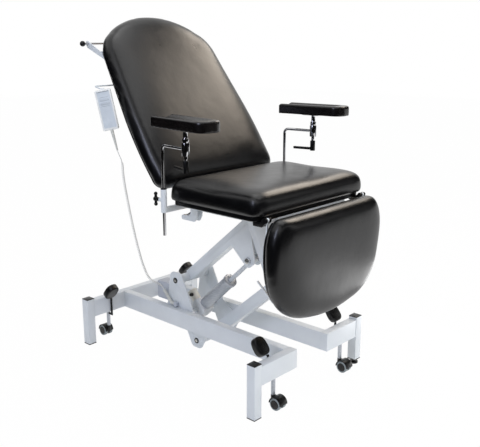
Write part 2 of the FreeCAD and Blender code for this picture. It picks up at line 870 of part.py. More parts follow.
def pivot_bolts():
    sub_part(fuse(through_bolt("upper_pivot_y", "upper_pivot_z", "rail_inner"),
                  through_bolt("lower_pivot_y", "lower_pivot_z", "rail_inner")), "pivot_bolts")


def control_box():
    right = "-lift_plate_inner"
    case = prism("YZ_Plane", [("box_front", "box_bottom"), ("box_rear", "box_bottom"), ("box_rear", "box_top"),
                              ("box_front", "box_top")], right, "box_width",
                 rounds=[((0, 1, 2, 3), "box_round")])
    socket = block((f"-rail_inner - socket_size", "-rail_inner"),
                   ("socket_y - socket_size / 2", "socket_y + socket_size / 2"),
                   ("socket_z - socket_size / 2", "socket_z + socket_size / 2"))
    sub_part(fuse(case, socket), "control_box")


def plug_points():
    """The plug's top, where the cord enters it, its knee and its end at the socket."""
    start = spot("-rail_inner - socket_size / 2", "plug_top_y", "plug_top_z")
    end = spot("-rail_inner - socket_size / 2", "socket_y + socket_size / 2", "socket_z")
    knee = V(start.x, end.y + (start.y - end.y) * value("plug_knee_share"), end.z)
    return start, knee, end


def control_plug():
    """The moulded plug at the cord's lower end, lying down to its socket."""
    form = bent_rod(plug_points(), value("plug_radius"), [value("plug_bend")])
    sub_part(solid_of(form), "control_plug")


# Lifting arms, each modelled along -Y from its pivot in the base and turned up to the arm's angle

def arm_body():
    tube = box_tube(("-arm_half", "arm_half"), ("-arm_length + arm_inset", "-arm_inset"),
                    ("-arm_half", "arm_half"), "arm_wall", "y", ("arm_wall", "arm_wall"))
    bushes = (axle("0", "0", "bush_radius", "upper_bush_half"),
              axle("-arm_length", "0", "bush_radius", "seat_bush_half"))
    bores = (axle("0", "0", "pivot_bolt_radius + running_clearance", "upper_bush_half + cut_overrun"),
             axle("-arm_length", "0", "pivot_bolt_radius + running_clearance", "upper_bush_half"))
    return tube, bushes, bores


def upper_lift_arm():
    tube, bushes, bores = arm_body()
    rear = "-clevis_along + clevis_rear_reach"
    front = "-clevis_along - clevis_front_reach"
    foot = "-clevis_drop - clevis_round"
    outline = [(rear, "-arm_wall"), (front, "-arm_wall"), (front, "-clevis_edge"),
               ("-clevis_along - clevis_round", foot), ("-clevis_along + clevis_round", foot)]
    cheek = prism("YZ_Plane", outline, "arm_half", "clevis_plate", rounds=[((3, 4), "clevis_corner")],
                  holes=[("-clevis_along", "-clevis_drop", "rod_bolt_radius + clevis_play")])
    arm = cut(fuse(tube, *bushes, both_sides(cheek)), *bores)
    sub_part(tilt(arm, V(-1, 0, 0), "arm_angle"), "upper_lift_arm", ("0", "upper_pivot_y", "upper_pivot_z"))


def lower_lift_arm():
    tube, bushes, bores = arm_body()
    arm = cut(fuse(tube, *bushes), *bores)
    sub_part(tilt(arm, V(-1, 0, 0), "arm_angle"), "lower_lift_arm", ("0", "lower_pivot_y", "lower_pivot_z"))


# Linear actuator, modelled along +Y from its rear pin and turned to point at the rod's pin

ACTUATOR_BASE = ("0", "actuator_pin_y", "actuator_pin_z")


def actuator():
    half = "gearbox_depth / 2"
    outline = [("-gearbox_rear", f"-({half})"), ("gearbox_front", f"-({half})"), ("gearbox_front", half),
               ("-gearbox_rear", half)]
    gearbox = prism("YZ_Plane", outline, "-gearbox_width / 2", "gearbox_width",
                    rounds=[((0, 1, 2, 3), "gearbox_round")],
                    holes=[("0", "0", "pivot_bolt_radius + running_clearance")])
    sub_part(tilt(gearbox, V(1, 0, 0), "actuator_angle"), "actuator_gearbox", ACTUATOR_BASE)
    motor = fuse(rod("z", ("0", "motor_along", "-motor_reach"), "motor_radius", f"motor_reach - {half}"),
                 rod("z", ("0", "motor_along", "-motor_reach + motor_lip"), "motor_radius + motor_lip / 2",
                     "motor_lip"))
    sub_part(tilt(motor, V(1, 0, 0), "actuator_angle"), "actuator_motor", ACTUATOR_BASE)
    tube = fuse(rod("y", ("0", "gearbox_front", "0"), "tube_radius", "tube_end - gearbox_front"),
                rod("y", ("0", "tube_end - tube_collar", "0"), "tube_radius + tube_collar_lip", "tube_collar"))
    bore = rod("y", ("0", "gearbox_front + tube_wall", "0"), "rod_radius + running_clearance", "tube_end")
    sub_part(tilt(cut(tube, bore), V(1, 0, 0), "actuator_angle"), "actuator_tube", ACTUATOR_BASE)
    outside = "arm_half + clevis_plate + side_clearance"
    eye = axle("actuator_length", "0", "rod_eye_radius", "arm_half - side_clearance")
    head = rod("x", (outside, "actuator_length", "0"), "rod_head_radius", "bolt_head")
    bolt = axle("actuator_length", "0", "rod_bolt_radius", outside)
    bar = rod("y", ("0", "rod_inner_end", "0"), "rod_radius", "actuator_length - rod_inner_end")
    sub_part(tilt(fuse(bar, eye, bolt, both_sides(head)), V(1, 0, 0), "actuator_angle"), "actuator_rod",
             ACTUATOR_BASE)


# Seat

def seat_cross(front):
    return box_tube(("-seat_tube_in", "seat_tube_in"), (front, f"{front} + seat_tube_width"),
                    ("seat_frame_bottom", "seat_frame_top"), "seat_tube_wall", "x")


def seat_frame():
    side = box_tube(("seat_tube_in", "seat_tube_out"), ("seat_tube_front", "seat_tube_rear"),
                    ("seat_frame_bottom", "seat_frame_top"), "seat_tube_wall", "y",
                    ("seat_tube_wall", "seat_tube_wall"))
    ear = prism("YZ_Plane", [("seat_tube_rear", "seat_frame_bottom"), ("seat_tube_rear", "seat_frame_top"),
                             ("hinge_y + hinge_ear_radius", "seat_frame_top"),
                             ("hinge_y + hinge_ear_radius", "hinge_z - hinge_ear_radius"),
                             ("hinge_y", "hinge_z - hinge_ear_radius")],
                "seat_tube_out - hinge_ear", "hinge_ear", rounds=[((2, 3), "hinge_ear_round")])
    shaft = axle("hinge_y", "hinge_z", "hinge_shaft_radius", "seat_tube_out")
    lug_high = "gas_anchor_z + gas_lug_radius"
    lug_low = "gas_anchor_z - gas_lug_radius"
    inner = "lever_half_gap + gas_lug_gap"
    lugs = [block((f"lever_x + {near}", f"lever_x + {far}"),
                  ("seat_rear_cross + seat_tube_width", "gas_anchor_y + gas_lug_radius"), (lug_low, lug_high))
            for near, far in ((inner, inner + " + gas_lug"), (f"-({inner}) - gas_lug", f"-({inner})"))]
    pin = rod("x", (f"lever_x - ({inner}) - gas_lug", "gas_anchor_y", "gas_anchor_z"), "gas_pin_radius",
              f"2 * ({inner} + gas_lug)")
    mount = mirrored(fuse(*lugs, pin))
    crosses = [seat_cross(front)
               for front in ("seat_tube_front", "seat_fore_cross", "seat_mid_cross", "seat_rear_cross")]
    sub_part(fuse(both_sides(fuse(side, ear)), shaft, mount, *crosses), "seat_frame")


HANGER_SHARES = [(1.306, 1.0), (0.18, 1.0), (0.06, 0.582), (-0.2, 0.0), (0.004, -0.1), (0.24, -0.02)]


def lift_hanger_plates():
    outline = [(f"lower_seat_y + {along} * (upper_seat_y - lower_seat_y)",
                f"lower_seat_z + {up} * (seat_frame_bottom - lower_seat_z)") for along, up in HANGER_SHARES]
    holes = [("upper_seat_y", "upper_seat_z", "pivot_bolt_radius"),
             ("lower_seat_y", "lower_seat_z", "pivot_bolt_radius")]
    plate = prism("YZ_Plane", outline, "hanger_half_gap", "hanger_plate", rounds=[((3, 4, 5), "hanger_round")],
                  holes=holes)
    outside = "hanger_half_gap + hanger_plate"
    sub_part(fuse(both_sides(plate), through_bolt("upper_seat_y", "upper_seat_z", outside),
                  through_bolt("lower_seat_y", "lower_seat_z", outside)), "lift_hanger_plates")


def seat_soft():
    sizes = (value("seat_half_width"), value("seat_front"), value("seat_rear"))
    rest = value("seat_frame_top")
    top = value("cushion_bottom")
    sub_part(solid_of(board(SEAT_OUTLINE_SHARES, *sizes, value("seat_board"),
                            lambda x, s, level: V(x, s, rest + level))), "seat_board")
    sub_part(solid_of(cushion(SEAT_OUTLINE_SHARES, *sizes, value("seat_thickness"), value("seat_crown"),
                              lambda x, s, level: V(x, s, top + level))), "seat_cushion")


def armrest_sockets():
    bar = block(("seat_tube_out", "sleeve_x"), ("sleeve_y - socket_bar / 2", "sleeve_y + socket_bar / 2"),
                ("sleeve_bottom", "sleeve_bottom + socket_bar"))
    sleeve = rod("z", ("sleeve_x", "sleeve_y", "sleeve_bottom"), "sleeve_radius", "sleeve_top - sleeve_bottom")
    boss = rod("y", ("sleeve_x", "sleeve_y", "knob_z"), "knob_boss_radius", "sleeve_radius + knob_boss")
    bore = rod("z", ("sleeve_x", "sleeve_y", "sleeve_bottom - cut_overrun"), "sleeve_bore",
               "sleeve_top - sleeve_bottom + 2 * cut_overrun")
    thread = rod("y", ("sleeve_x", "sleeve_y + sleeve_bore + side_clearance", "knob_z"),
                 "knob_stem_radius + running_clearance", "knob_boss + sleeve_radius")
    sub_part(both_sides(cut(fuse(bar, sleeve, boss), bore, thread)), "armrest_sockets")


def leg_rest_hinge_blocks():
    front = "leg_hinge_y - leg_eye_radius"
    low = "seat_frame_top - hinge_block_height"
    outline = [("hinge_block_rear", low), ("hinge_block_rear", "seat_frame_top"),
               ("seat_front + board_inset", "seat_frame_top"),
               ("seat_front - side_clearance", "leg_hinge_z + leg_eye_radius"),
               (front, "leg_hinge_z + leg_eye_radius"), (front, "leg_hinge_z - leg_eye_radius"),
               ("leg_hinge_y + hinge_block_nose", low)]
    cheeks = []
    for start in ("cheek_in - cheek_width", "cheek_out"):
        cheeks.append(prism("YZ_Plane", outline, start, "cheek_width", rounds=[((4, 5), "leg_eye_round")]))
    bridge = block(("cheek_in", "cheek_out"), ("leg_hinge_y + hinge_bridge", "hinge_block_rear"),
                   (low, "seat_frame_top"))
    pin = rod("x", ("cheek_in", "leg_hinge_y", "leg_hinge_z"), "leg_pin_radius", "cheek_out - cheek_in")
    sub_part(both_sides(fuse(*cheeks, bridge, pin)), "leg_rest_hinge_blocks")


# Back, modelled lying flat from its hinge: local +Y runs up the back, local +Z is its front

BACK_BASE = ("0", "hinge_y", "hinge_z")


def on_back(shape, name):
    sub_part(tilt(shape, V(1, 0, 0), "back_tilt"), name, BACK_BASE)


def back_cross(start):
    return box_tube(("-back_tube_in", "back_tube_in"), (start, f"{start} + back_tube"),
                    ("back_tube_lift", "board_low"), "seat_tube_wall", "x")


def back_lever():
    """Two cheeks standing down from the hinge, with the gas spring's boss at their foot."""
    foot = "-lever_boss_drop - lever_boss_radius"
    step = "-lever_boss_drop + lever_boss_radius"
    tip = "lever_boss_y + lever_boss_radius"
    outline = [("lever_root_y", "lever_root_z"), ("lever_crest_y", "lever_crest_z"),
               ("lever_inner + lever_width", "-lever_shoulder"), ("lever_inner + lever_width", step), (tip, step),
               (tip, foot), ("lever_heel_y", foot), ("lever_inner", "-lever_boss_drop + lever_heel_rise")]
    cheeks = []
    for start in ("-lever_x - lever_half_gap - lever_plate", "-lever_x + lever_half_gap"):
        cheek = prism("YZ_Plane", outline, start, "lever_plate",
                      rounds=[((3,), "lever_throat_round"), ((4, 5), "lever_boss_round"),
                              ((6, 7), "lever_heel_round")])
        cheeks.append(tilt(cheek, V(-1, 0, 0), "back_tilt"))
    pin_half = "lever_half_gap + lever_plate"
    pin = rod("x", (f"-lever_x - ({pin_half})", "lever_boss_y", "-lever_boss_drop"), "gas_pin_radius",
              f"2 * ({pin_half})")
    turned_pin = doc.addObject("Part::Compound", "turned_pin")
    turned_pin.Links = [pin]
    cheeks.append(tilt(turned_pin, V(-1, 0, 0), "back_tilt"))
    room = block(("-back_tube_in", "back_tube_in"), ("back_low_cross", "back_low_cross + back_tube"),
                 ("back_tube_lift", "board_low"))
    return cut(fuse(*cheeks), axle("0", "0", "hinge_tube_radius", "hinge_tube_half"), room)


def roll_arm():
    """A flat arm standing up and back from the back board to the paper roll's rod."""
    along = "roll_foot_along + roll_foot_length / 2"
    level = "board_low - roll_foot"
    half = "roll_arm_width / 2"
    outline = [(f"{along} - {half}", level), (f"{along} + {half}", level),
               (f"roll_axis_along + {half}", f"-roll_axis_behind + ({half}) * roll_arm_front_share"),
               (f"roll_axis_along + {half}", f"-roll_axis_behind - {half}"),
               (f"roll_axis_along - ({half}) * roll_arm_heel_share", f"-roll_axis_behind - {half}")]
    plate = prism("YZ_Plane", outline, "roll_arm_x - roll_arm_plate / 2", "roll_arm_plate",
                  rounds=[((2, 3, 4), "roll_arm_round")],
                  holes=[("roll_axis_along", "-roll_axis_behind", "roll_rod_radius + running_clearance")])
    foot = block(("roll_arm_x - roll_foot_width / 2", "roll_arm_x + roll_foot_width / 2"),
                 ("roll_foot_along", "roll_foot_along + roll_foot_length"), ("board_low - roll_foot", "board_low"))
    return fuse(plate, foot)


def handset_hook():
    """The bent wire beside the back that the handset hangs on."""
    wire = bent_rod([spot("-back_tube_out", "wire_along", "wire_level"), spot("-wire_x", "wire_along", "wire_level"),
                     spot("-wire_x", "wire_end_along", "wire_end_level")],
                    value("wire_radius"), [value("wire_bend")])
    return solid_of(wire)


def back_frame():
    side = box_tube(("back_tube_in", "back_tube_out"), ("0", "back_tube_end"), ("back_tube_lift", "board_low"),
                    "seat_tube_wall", "y", ("seat_tube_wall", "seat_tube_wall"))
    hinge = axle("0", "0", "hinge_tube_radius", "hinge_tube_half")
    bore = axle("0", "0", "hinge_shaft_radius + running_clearance", "hinge_tube_half + cut_overrun")
    crosses = [back_cross(start) for start in ("back_low_cross", "back_mid_cross", "back_top_cross")]
    frame = doc.addObject("Part::Compound", "back_solids")
    ladder = cut(fuse(both_sides(side), hinge, *crosses), bore)
    frame.Links = [ladder, back_lever(), roll_arm(), mirrored(roll_arm()), handset_hook()]
    on_back(frame, "back_frame")


def back_soft():
    sizes = (value("back_half_width"), value("back_low_end"), value("back_top_end"))
    low = value("board_low")
    front = value("back_cushion_low")
    on_back(solid_of(board(BACK_OUTLINE_SHARES, *sizes, value("back_board"),
                           lambda x, s, level: V(x, s, low + level))), "back_board")
    on_back(solid_of(cushion(BACK_OUTLINE_SHARES, *sizes, value("back_thickness"), value("back_crown"),
                             lambda x, s, level: V(x, s, front + level))), "back_cushion")


def paper_roll_rod():
    bar = axle("roll_axis_along", "-roll_axis_behind", "roll_rod_radius", "roll_ball_x")
    knob = ball(("roll_ball_x", "roll_axis_along", "-roll_axis_behind"), "roll_ball_radius")
    on_back(fuse(bar, both_sides(knob)), "paper_roll_rod")


# Gas spring, modelled along +Y from its pin on the seat frame and turned down to the lever's boss

def gas_spring():
    base = ("-lever_x", "gas_anchor_y", "gas_anchor_z")
    lug = axle("0", "0", "gas_lug_radius", "gas_eye_half")
    barrel = rod("y", ("0", "gas_cylinder_start", "0"), "gas_cylinder_radius",
                 "gas_cylinder_end - gas_cylinder_start")
    pin_bore = axle("0", "0", "gas_pin_radius + running_clearance", "lever_half_gap + cut_overrun")
    rod_bore = rod("y", ("0", "gas_bore_start", "0"), "gas_rod_radius + running_clearance", "gas_cylinder_end")
    cylinder = cut(fuse(lug, barrel), pin_bore, rod_bore)
    sub_part(tilt(cylinder, V(-1, 0, 0), "gas_angle"), "gas_spring_cylinder", base)
    bar = rod("y", ("0", "gas_rod_inner", "0"), "gas_rod_radius", "gas_length - gas_eye_radius - gas_rod_inner")
    eye = axle("gas_length", "0", "gas_eye_radius", "gas_eye_half")
    eye_bore = axle("gas_length", "0", "gas_pin_radius + gas_play", "gas_eye_half + cut_overrun")
    neck = rod("y", ("0", "gas_length - gas_neck", "0"), "gas_rod_radius", "gas_eye_radius")
    sub_part(tilt(cut(fuse(bar, eye, neck), eye_bore), V(-1, 0, 0), "gas_angle"), "gas_spring_rod", base)


# Leg rest, hanging from its hinge at the front of the seat

def leg_rest():
    eye_x = ("leg_hinge_x - leg_eye_width / 2", "leg_hinge_x + leg_eye_width / 2")
    leaf = block(eye_x, ("leg_board_rear", "leg_board_rear + leaf_thickness"), ("leaf_end", "leg_hinge_z"))
    eye = rod("x", (eye_x[0], "leg_hinge_y", "leg_hinge_z"), "leg_eye_radius", "leg_eye_width")
    bore = rod("x", (eye_x[0] + " - cut_overrun", "leg_hinge_y", "leg_hinge_z"),
               "leg_pin_radius + running_clearance", "leg_eye_width + 2 * cut_overrun")
    hinge = cut(fuse(leaf, eye), bore)
    pull = bent_rod([spot("-pull_rod_root_x", "leg_board_rear", "pull_rod_z"),
                     spot("-pull_rod_root_x", "leg_board_rear + pull_rod_reach", "pull_rod_z"),
                     spot("-pull_rod_x", "pull_rod_tip_y", "pull_rod_tip_z")],
                    value("pull_rod_radius"), [value("pull_rod_bend")])
    sub_part(fuse(both_sides(hinge), solid_of(pull)), "leg_rest_frame")
    sizes = (value("leg_half_width"), value("rest_bottom"), value("rest_top"))
    rear = value("leg_board_rear")
    front = value("leg_board_front")
    panel = solid_of(board(LEG_OUTLINE_SHARES, *sizes, value("leg_board"),
                           lambda x, s, level: V(x, rear - level, s)))
    above = block(("-leg_half_width", "leg_half_width"),
                  ("leg_board_front - cut_overrun", "leg_board_rear + cut_overrun"), ("leg_board_top", "rest_top"))
    sub_part(cut(panel, above), "leg_rest_board")
    sub_part(solid_of(cushion(LEG_OUTLINE_SHARES, *sizes, value("leg_thickness"), value("leg_crown"),
                              lambda x, s, level: V(x, front - level, s))), "leg_rest_cushion")


# Armrests, modelled for the left side and mirrored for the right

def armrest_bush():
    barrel = rod("z", ("sleeve_x", "sleeve_y", "sleeve_bottom"), "bush_radius_out", "sleeve_top - sleeve_bottom")
    bush = fuse(barrel, rod("z", ("sleeve_x", "sleeve_y", "sleeve_top"), "sleeve_radius", "bush_flange"))
    return cut(bush, rod("z", ("sleeve_x", "sleeve_y", "sleeve_bottom - cut_overrun"),
                         "pole_radius + running_clearance", "sleeve_top - sleeve_bottom + 3 * cut_overrun"))


def armrest_pole():
    corner = spot("sleeve_x", "sleeve_y", "pole_top")
    tube = bent_rod([spot("sleeve_x", "sleeve_y", "pole_bottom"), corner, spot("clamp_x", "clamp_y", "pole_top")],
                    value("pole_radius"), [value("pole_bend")])
    clamp = fuse(rod("z", ("clamp_x", "clamp_y", "clamp_bottom"), "clamp_radius", "clamp_top - clamp_bottom"),
                 rod("z", ("clamp_x", "clamp_y", "neck_bottom"), "neck_radius", "clamp_bottom - neck_bottom"))
    post_bore = rod("z", ("clamp_x", "clamp_y", "clamp_bottom"), "post_radius + running_clearance",
                    "clamp_top - clamp_bottom + cut_overrun")
    stem_bore = rod("z", ("clamp_x", "clamp_y", "neck_bottom - cut_overrun"),
                    "lever_stem_radius + running_clearance", "lever_stem + cut_overrun + side_clearance")
    slit = block(("clamp_x - clamp_slit / 2", "clamp_x + clamp_slit / 2"),
                 ("clamp_y - clamp_radius - cut_overrun", "clamp_y"), ("clamp_bottom", "clamp_top + cut_overrun"))
    return cut(fuse(solid_of(tube), clamp), post_bore, stem_bore, slit)


def clamp_lever():
    top = "neck_bottom - side_clearance"
    hub = rod("z", ("0", "0", "lever_hub_bottom"), "lever_hub_radius", f"{top} - lever_hub_bottom")
    stem = rod("z", ("0", "0", "lever_hub_bottom"), "lever_stem_radius",
               "neck_bottom + lever_stem - side_clearance - lever_hub_bottom")
    handle = prism("XY_Plane", [("-lever_grip_width / 2", "0"), ("lever_grip_width / 2", "0"),
                                ("lever_grip_tip / 2", "lever_reach"), ("-lever_grip_tip / 2", "lever_reach")],
                   "lever_hub_bottom + lever_grip_rise", "lever_thickness", rounds=[((2, 3), "lever_grip_round")])
    return fuse(hub, stem, handle)


def pad_post():
    post = rod("z", ("0", "0", "clamp_bottom + side_clearance"), "post_radius",
               "pad_bottom - clamp_bottom - side_clearance")
    collar = rod("z", ("0", "0", "clamp_top + side_clearance"), "post_collar_radius", "post_collar")
    plate = block(("-pad_plate_width / 2", "pad_plate_width / 2"), ("-pad_plate_length / 2", "pad_plate_length / 2"),
                  ("pad_bottom - pad_plate", "pad_bottom"))
    return fuse(post, collar, plate)


def armrest_pad():
    half = "pad_width / 2"
    outline = [(f"-({half})", "pad_rear"), (f"-({half})", "-pad_front"), (half, "-pad_front"), (half, "pad_rear")]
    pad = prism("XY_Plane", outline, "pad_bottom", "pad_thickness", rounds=[((1, 2), "pad_round")], rim="pad_edge")
    trough = rod("y", ("0", "-trough_front", "pad_bottom + pad_thickness - trough_depth + trough_radius"),
                 "trough_radius", "pad_rear + trough_front + cut_overrun")
    return cut(pad, trough)


def armrests():
    for side, sign, mirror in (("left", "", False), ("right", "-", True)):
        turn = V(0, 0, -1) if mirror else V(0, 0, 1)
        clamp_base = (sign + "clamp_x", "clamp_y", "0")
        for name, make in (("armrest_bush", armrest_bush), ("armrest_pole", armrest_pole)):
            sub_part(mirrored(make()) if mirror else make(), f"{name}_{side}")
        for name, make, angle in (("clamp_lever", clamp_lever, "lever_turn"), ("pad_post", pad_post, "pad_yaw"),
                                  ("armrest_pad", armrest_pad, "pad_yaw")):
            sub_part(tilt(mirrored(make()) if mirror else make(), turn, angle), f"{name}_{side}", clamp_base)
        stem = rod("y", ("0", "sleeve_y + sleeve_radius + side_clearance", "0"), "knob_stem_radius",
                   "knob_face_y - sleeve_y - sleeve_radius")
        hub = rod("y", ("0", "knob_face_y", "0"), "knob_hub_radius", "knob_hub")
        lobes = prism("XZ_Plane", [("-knob_span / 2", "-knob_lobe / 2"), ("knob_span / 2", "-knob_lobe / 2"),
                                   ("knob_span / 2", "knob_lobe / 2"), ("-knob_span / 2", "knob_lobe / 2")],
                      "-knob_face_y - knob_hub", "knob_lobe", rounds=[((0, 1, 2, 3), "knob_lobe_round")])
        sub_part(fuse(stem, hub, lobes), f"socket_knob_{side}", (sign + "sleeve_x", "0", "knob_z"))


# Handset, modelled upright with its face to -Y, then leant and turned on its hook

def leant(shape, name):
    inner = doc.addObject("Part::Compound", "leaning")
    inner.Links = [shape]
    tilt(inner, V(0, -1, 0), "handset_lean")
    outer = doc.addObject("Part::Compound", "turned")
    outer.Links = [inner]
    sub_part(tilt(outer, V(0, 0, -1), "handset_turn"), name, ("-handset_x", "handset_y", "handset_z"))


def key_block(level, gap, depth, proud):
    return block((f"-key_width / 2 - {gap}", f"key_width / 2 + {gap}"),
                 (f"-handset_depth / 2 - {proud}", f"-handset_depth / 2 + {depth}"),
                 (f"{level} - key_height / 2 - {gap}", f"{level} + key_height / 2 + {gap}"))


def handset():
    half = "handset_width / 2"
    tall = "handset_height / 2"
    outline = [(f"-({half})", f"-({tall})"), (half, f"-({tall})"), (half, tall), (f"-({half})", tall)]
    case = prism("XZ_Plane", outline, "-handset_depth / 2", "handset_depth",
                 rounds=[((0, 1, 2, 3), "handset_round")], rim="handset_edge")
    hook = block(("-hook_width / 2", "hook_width / 2"), ("-hook_depth / 2", "hook_depth / 2"),
                 (tall, f"{tall} + hook_height"))
    wells = [key_block(level, "key_gap", "key_depth + 2 * key_gap", "cut_overrun")
             for level in ("key_up_z", "key_down_z")]
    leant(cut(fuse(case, hook), *wells), "handset_case")
    leant(key_block("key_up_z", "0", "key_depth - key_proud", "key_proud"), "key_up")
    leant(key_block("key_down_z", "0", "key_depth - key_proud", "key_proud"), "key_down")
    cone = taper("z", ("0", "0", "0"), "relief_radius", "relief_tip_radius", "relief_length")
    held = doc.addObject("Part::Compound", "relief")
    held.Links = [mirrored(cone, V(0, 0, 1))]
    sub_part(tilt(held, V(-1, 0, 0), "relief_angle"), "strain_relief", ("-relief_x", "relief_y", "relief_z"))


# The handset's curly cord: its two free stretches meet in the middle of a run

CORD_ROUTE = [(-357, 188, 903), (-342, 208, 836), (-275, 246, 628), (-240, 259, 516), (-200, 272, 405),
              (-158, 277, 320)]


def cords():
    points = [V(*point) for point in CORD_ROUTE]
    split = (points[1] + points[2]) * 0.5
    top = spot("-relief_x", "relief_tip_y", "relief_tip_z")
    straight = top + V(0, -math.sin(math.radians(value("relief_angle"))),
                       -math.cos(math.radians(value("relief_angle")))) * value("cord_straight")
    start, knee, _ = plug_points()
    rise = start + (start - knee).normalize() * value("plug_straight")
    for name, run in (("cord_upper", [top, straight, *points[:2], split]),
                      ("cord_lower", [split, *points[2:], rise, start])):
        bends = cord_bends(run)
        print(name, "bend radii", [round(bend) for bend in bends])
        sub_part(solid_of(bent_rod(run, value("cord_radius"), bends)), name)


# Castors: pedal with its rod and stem, swivelling fork with hood, and a pair of wheels

def castor_places():
    """(number, X sign, Y sign) of each castor; they trail outwards along Y."""
    return [(1, -1, -1), (2, 1, -1), (3, -1, 1), (4, 1, 1)]


def castor_pedal():
    stem = rod("z", ("castor_x", "leg_y", "stem_bottom"), "stem_radius", "stem_top - stem_bottom")
    pin = rod("z", ("castor_x", "leg_y", "stem_bottom - swivel_pin"), "swivel_pin_radius", "swivel_pin")
    top = spot("pedal_x", "pedal_y + pedal_grip_share * pedal_length * sin(pedal_lean)",
               "pedal_z - pedal_grip_share * pedal_length * cos(pedal_lean)")
    elbow = spot("castor_x", "pedal_rod_y", "pedal_rod_foot")
    link = mitred_rod([top, spot("castor_x", "pedal_rod_y", "rail_top"), elbow,
                       spot("castor_x", "leg_y", "pedal_rod_foot")], value("pedal_rod_radius"))
    wide = "pedal_width / 2"
    long = "pedal_length / 2"
    pad = prism("XY_Plane", [(f"-{wide}", f"-{long}"), (wide, f"-{long}"), (wide, long), (f"-{wide}", long)],
                "-pedal_thickness / 2", "pedal_thickness", rounds=[((0, 1, 2, 3), "pedal_round")], rim="pedal_edge")
    tilt(pad, V(-1, 0, 0), "90 - pedal_lean")
    for axis in "xyz":
        pad.setExpression("Placement.Base." + axis, bound("pedal_" + axis))
    return fuse(stem, pin, solid_of(link), pad)


def castor_fork():
    axle_y = "leg_y + castor_trail"
    neck = rod("z", ("castor_x", "leg_y", "castor_axle_z"), "fork_neck_radius", "stem_bottom - castor_axle_z")
    web = rod("x", ("castor_x - web_width / 2", axle_y, "castor_axle_z"), "wheel_radius - tread", "web_width")
    crown = block(("castor_x - web_width / 2", "castor_x + web_width / 2"), ("leg_y", axle_y),
                  ("castor_axle_z", "castor_axle_z + hood_bore + hood_wall / 2"))
    wheel_rooms = [rod("x", (start, axle_y, "castor_axle_z"), "hood_bore", "2 * wheel_width")
                   for start in ("castor_x + web_width / 2", "castor_x - web_width / 2 - 2 * wheel_width")]
    axle_pin = rod("x", ("castor_x - wheel_out", axle_y, "castor_axle_z"), "axle_radius", "2 * (wheel_out)")
    start = "castor_x - wheel_out - side_clearance"
    width = "2 * (wheel_out + side_clearance)"
    shell = cut(rod("x", (start, axle_y, "castor_axle_z"), "hood_radius", width),
                rod("x", (start + " - cut_overrun", axle_y, "castor_axle_z"), "hood_bore",
                    width + " + 2 * cut_overrun"),
                block((start + " - cut_overrun", "castor_x + wheel_out + side_clearance + cut_overrun"),
                      (f"{axle_y} - hood_radius - cut_overrun", f"{axle_y} + hood_radius + cut_overrun"),
                      ("castor_axle_z - hood_radius - cut_overrun", "castor_axle_z")))
    pin_bore = rod("z", ("castor_x", "leg_y", "stem_bottom - swivel_pin - side_clearance"),
                   "swivel_pin_radius + running_clearance", "swivel_pin + side_clearance + cut_overrun")
    return cut(fuse(cut(fuse(neck, web, crown), *wheel_rooms), axle_pin, shell), pin_bore)


def castor_wheels():
    axle_y = "leg_y + castor_trail"
    wheels = [rod("x", (start, axle_y, "castor_axle_z"), "wheel_radius", "wheel_width")
              for start in ("castor_x + wheel_in", "castor_x - wheel_out")]
    bore = rod("x", ("castor_x - wheel_out - cut_overrun", axle_y, "castor_axle_z"),
               "axle_radius + running_clearance", "2 * (wheel_out + cut_overrun)")
    return cut(fuse(*wheels), bore)


def castors():
    for number, sign_x, sign_y in castor_places():
        for name, make in (("castor_pedal", castor_pedal), ("castor_fork", castor_fork),
                           ("castor_wheels", castor_wheels)):
            piece = make()
            if sign_x < 0:
                piece = mirrored(piece)
            if sign_y < 0:
                piece = mirrored(piece, V(0, 1, 0))
            sub_part(piece, f"{name}_{number}")


for make in (base_rails, cross_members, legs, lift_pivot_plates, pivot_bolts, control_box, control_plug,
             upper_lift_arm, lower_lift_arm, actuator, seat_frame, lift_hanger_plates, seat_soft, armrest_sockets,
             leg_rest_hinge_blocks, back_frame, back_soft, paper_roll_rod, gas_spring, leg_rest, armrests, handset,
             cords, castors):
    make()
doc.recompute()

faults = [item.Label for item in doc.Objects if "Invalid" in item.State or "Error" in item.State]
faults += [item.Label for item in NODES if item.Shape.isNull() or not item.Shape.isValid()]
if faults:
    raise RuntimeError("these did not build: " + ", ".join(faults))
os.makedirs("parts", exist_ok=True)
for item in NODES:
    item.Shape.exportStep(f"parts/{item.Label}.step")
print(len(NODES), "nodes")
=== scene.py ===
import json
import math
import bpy
from mathutils import Matrix, Vector


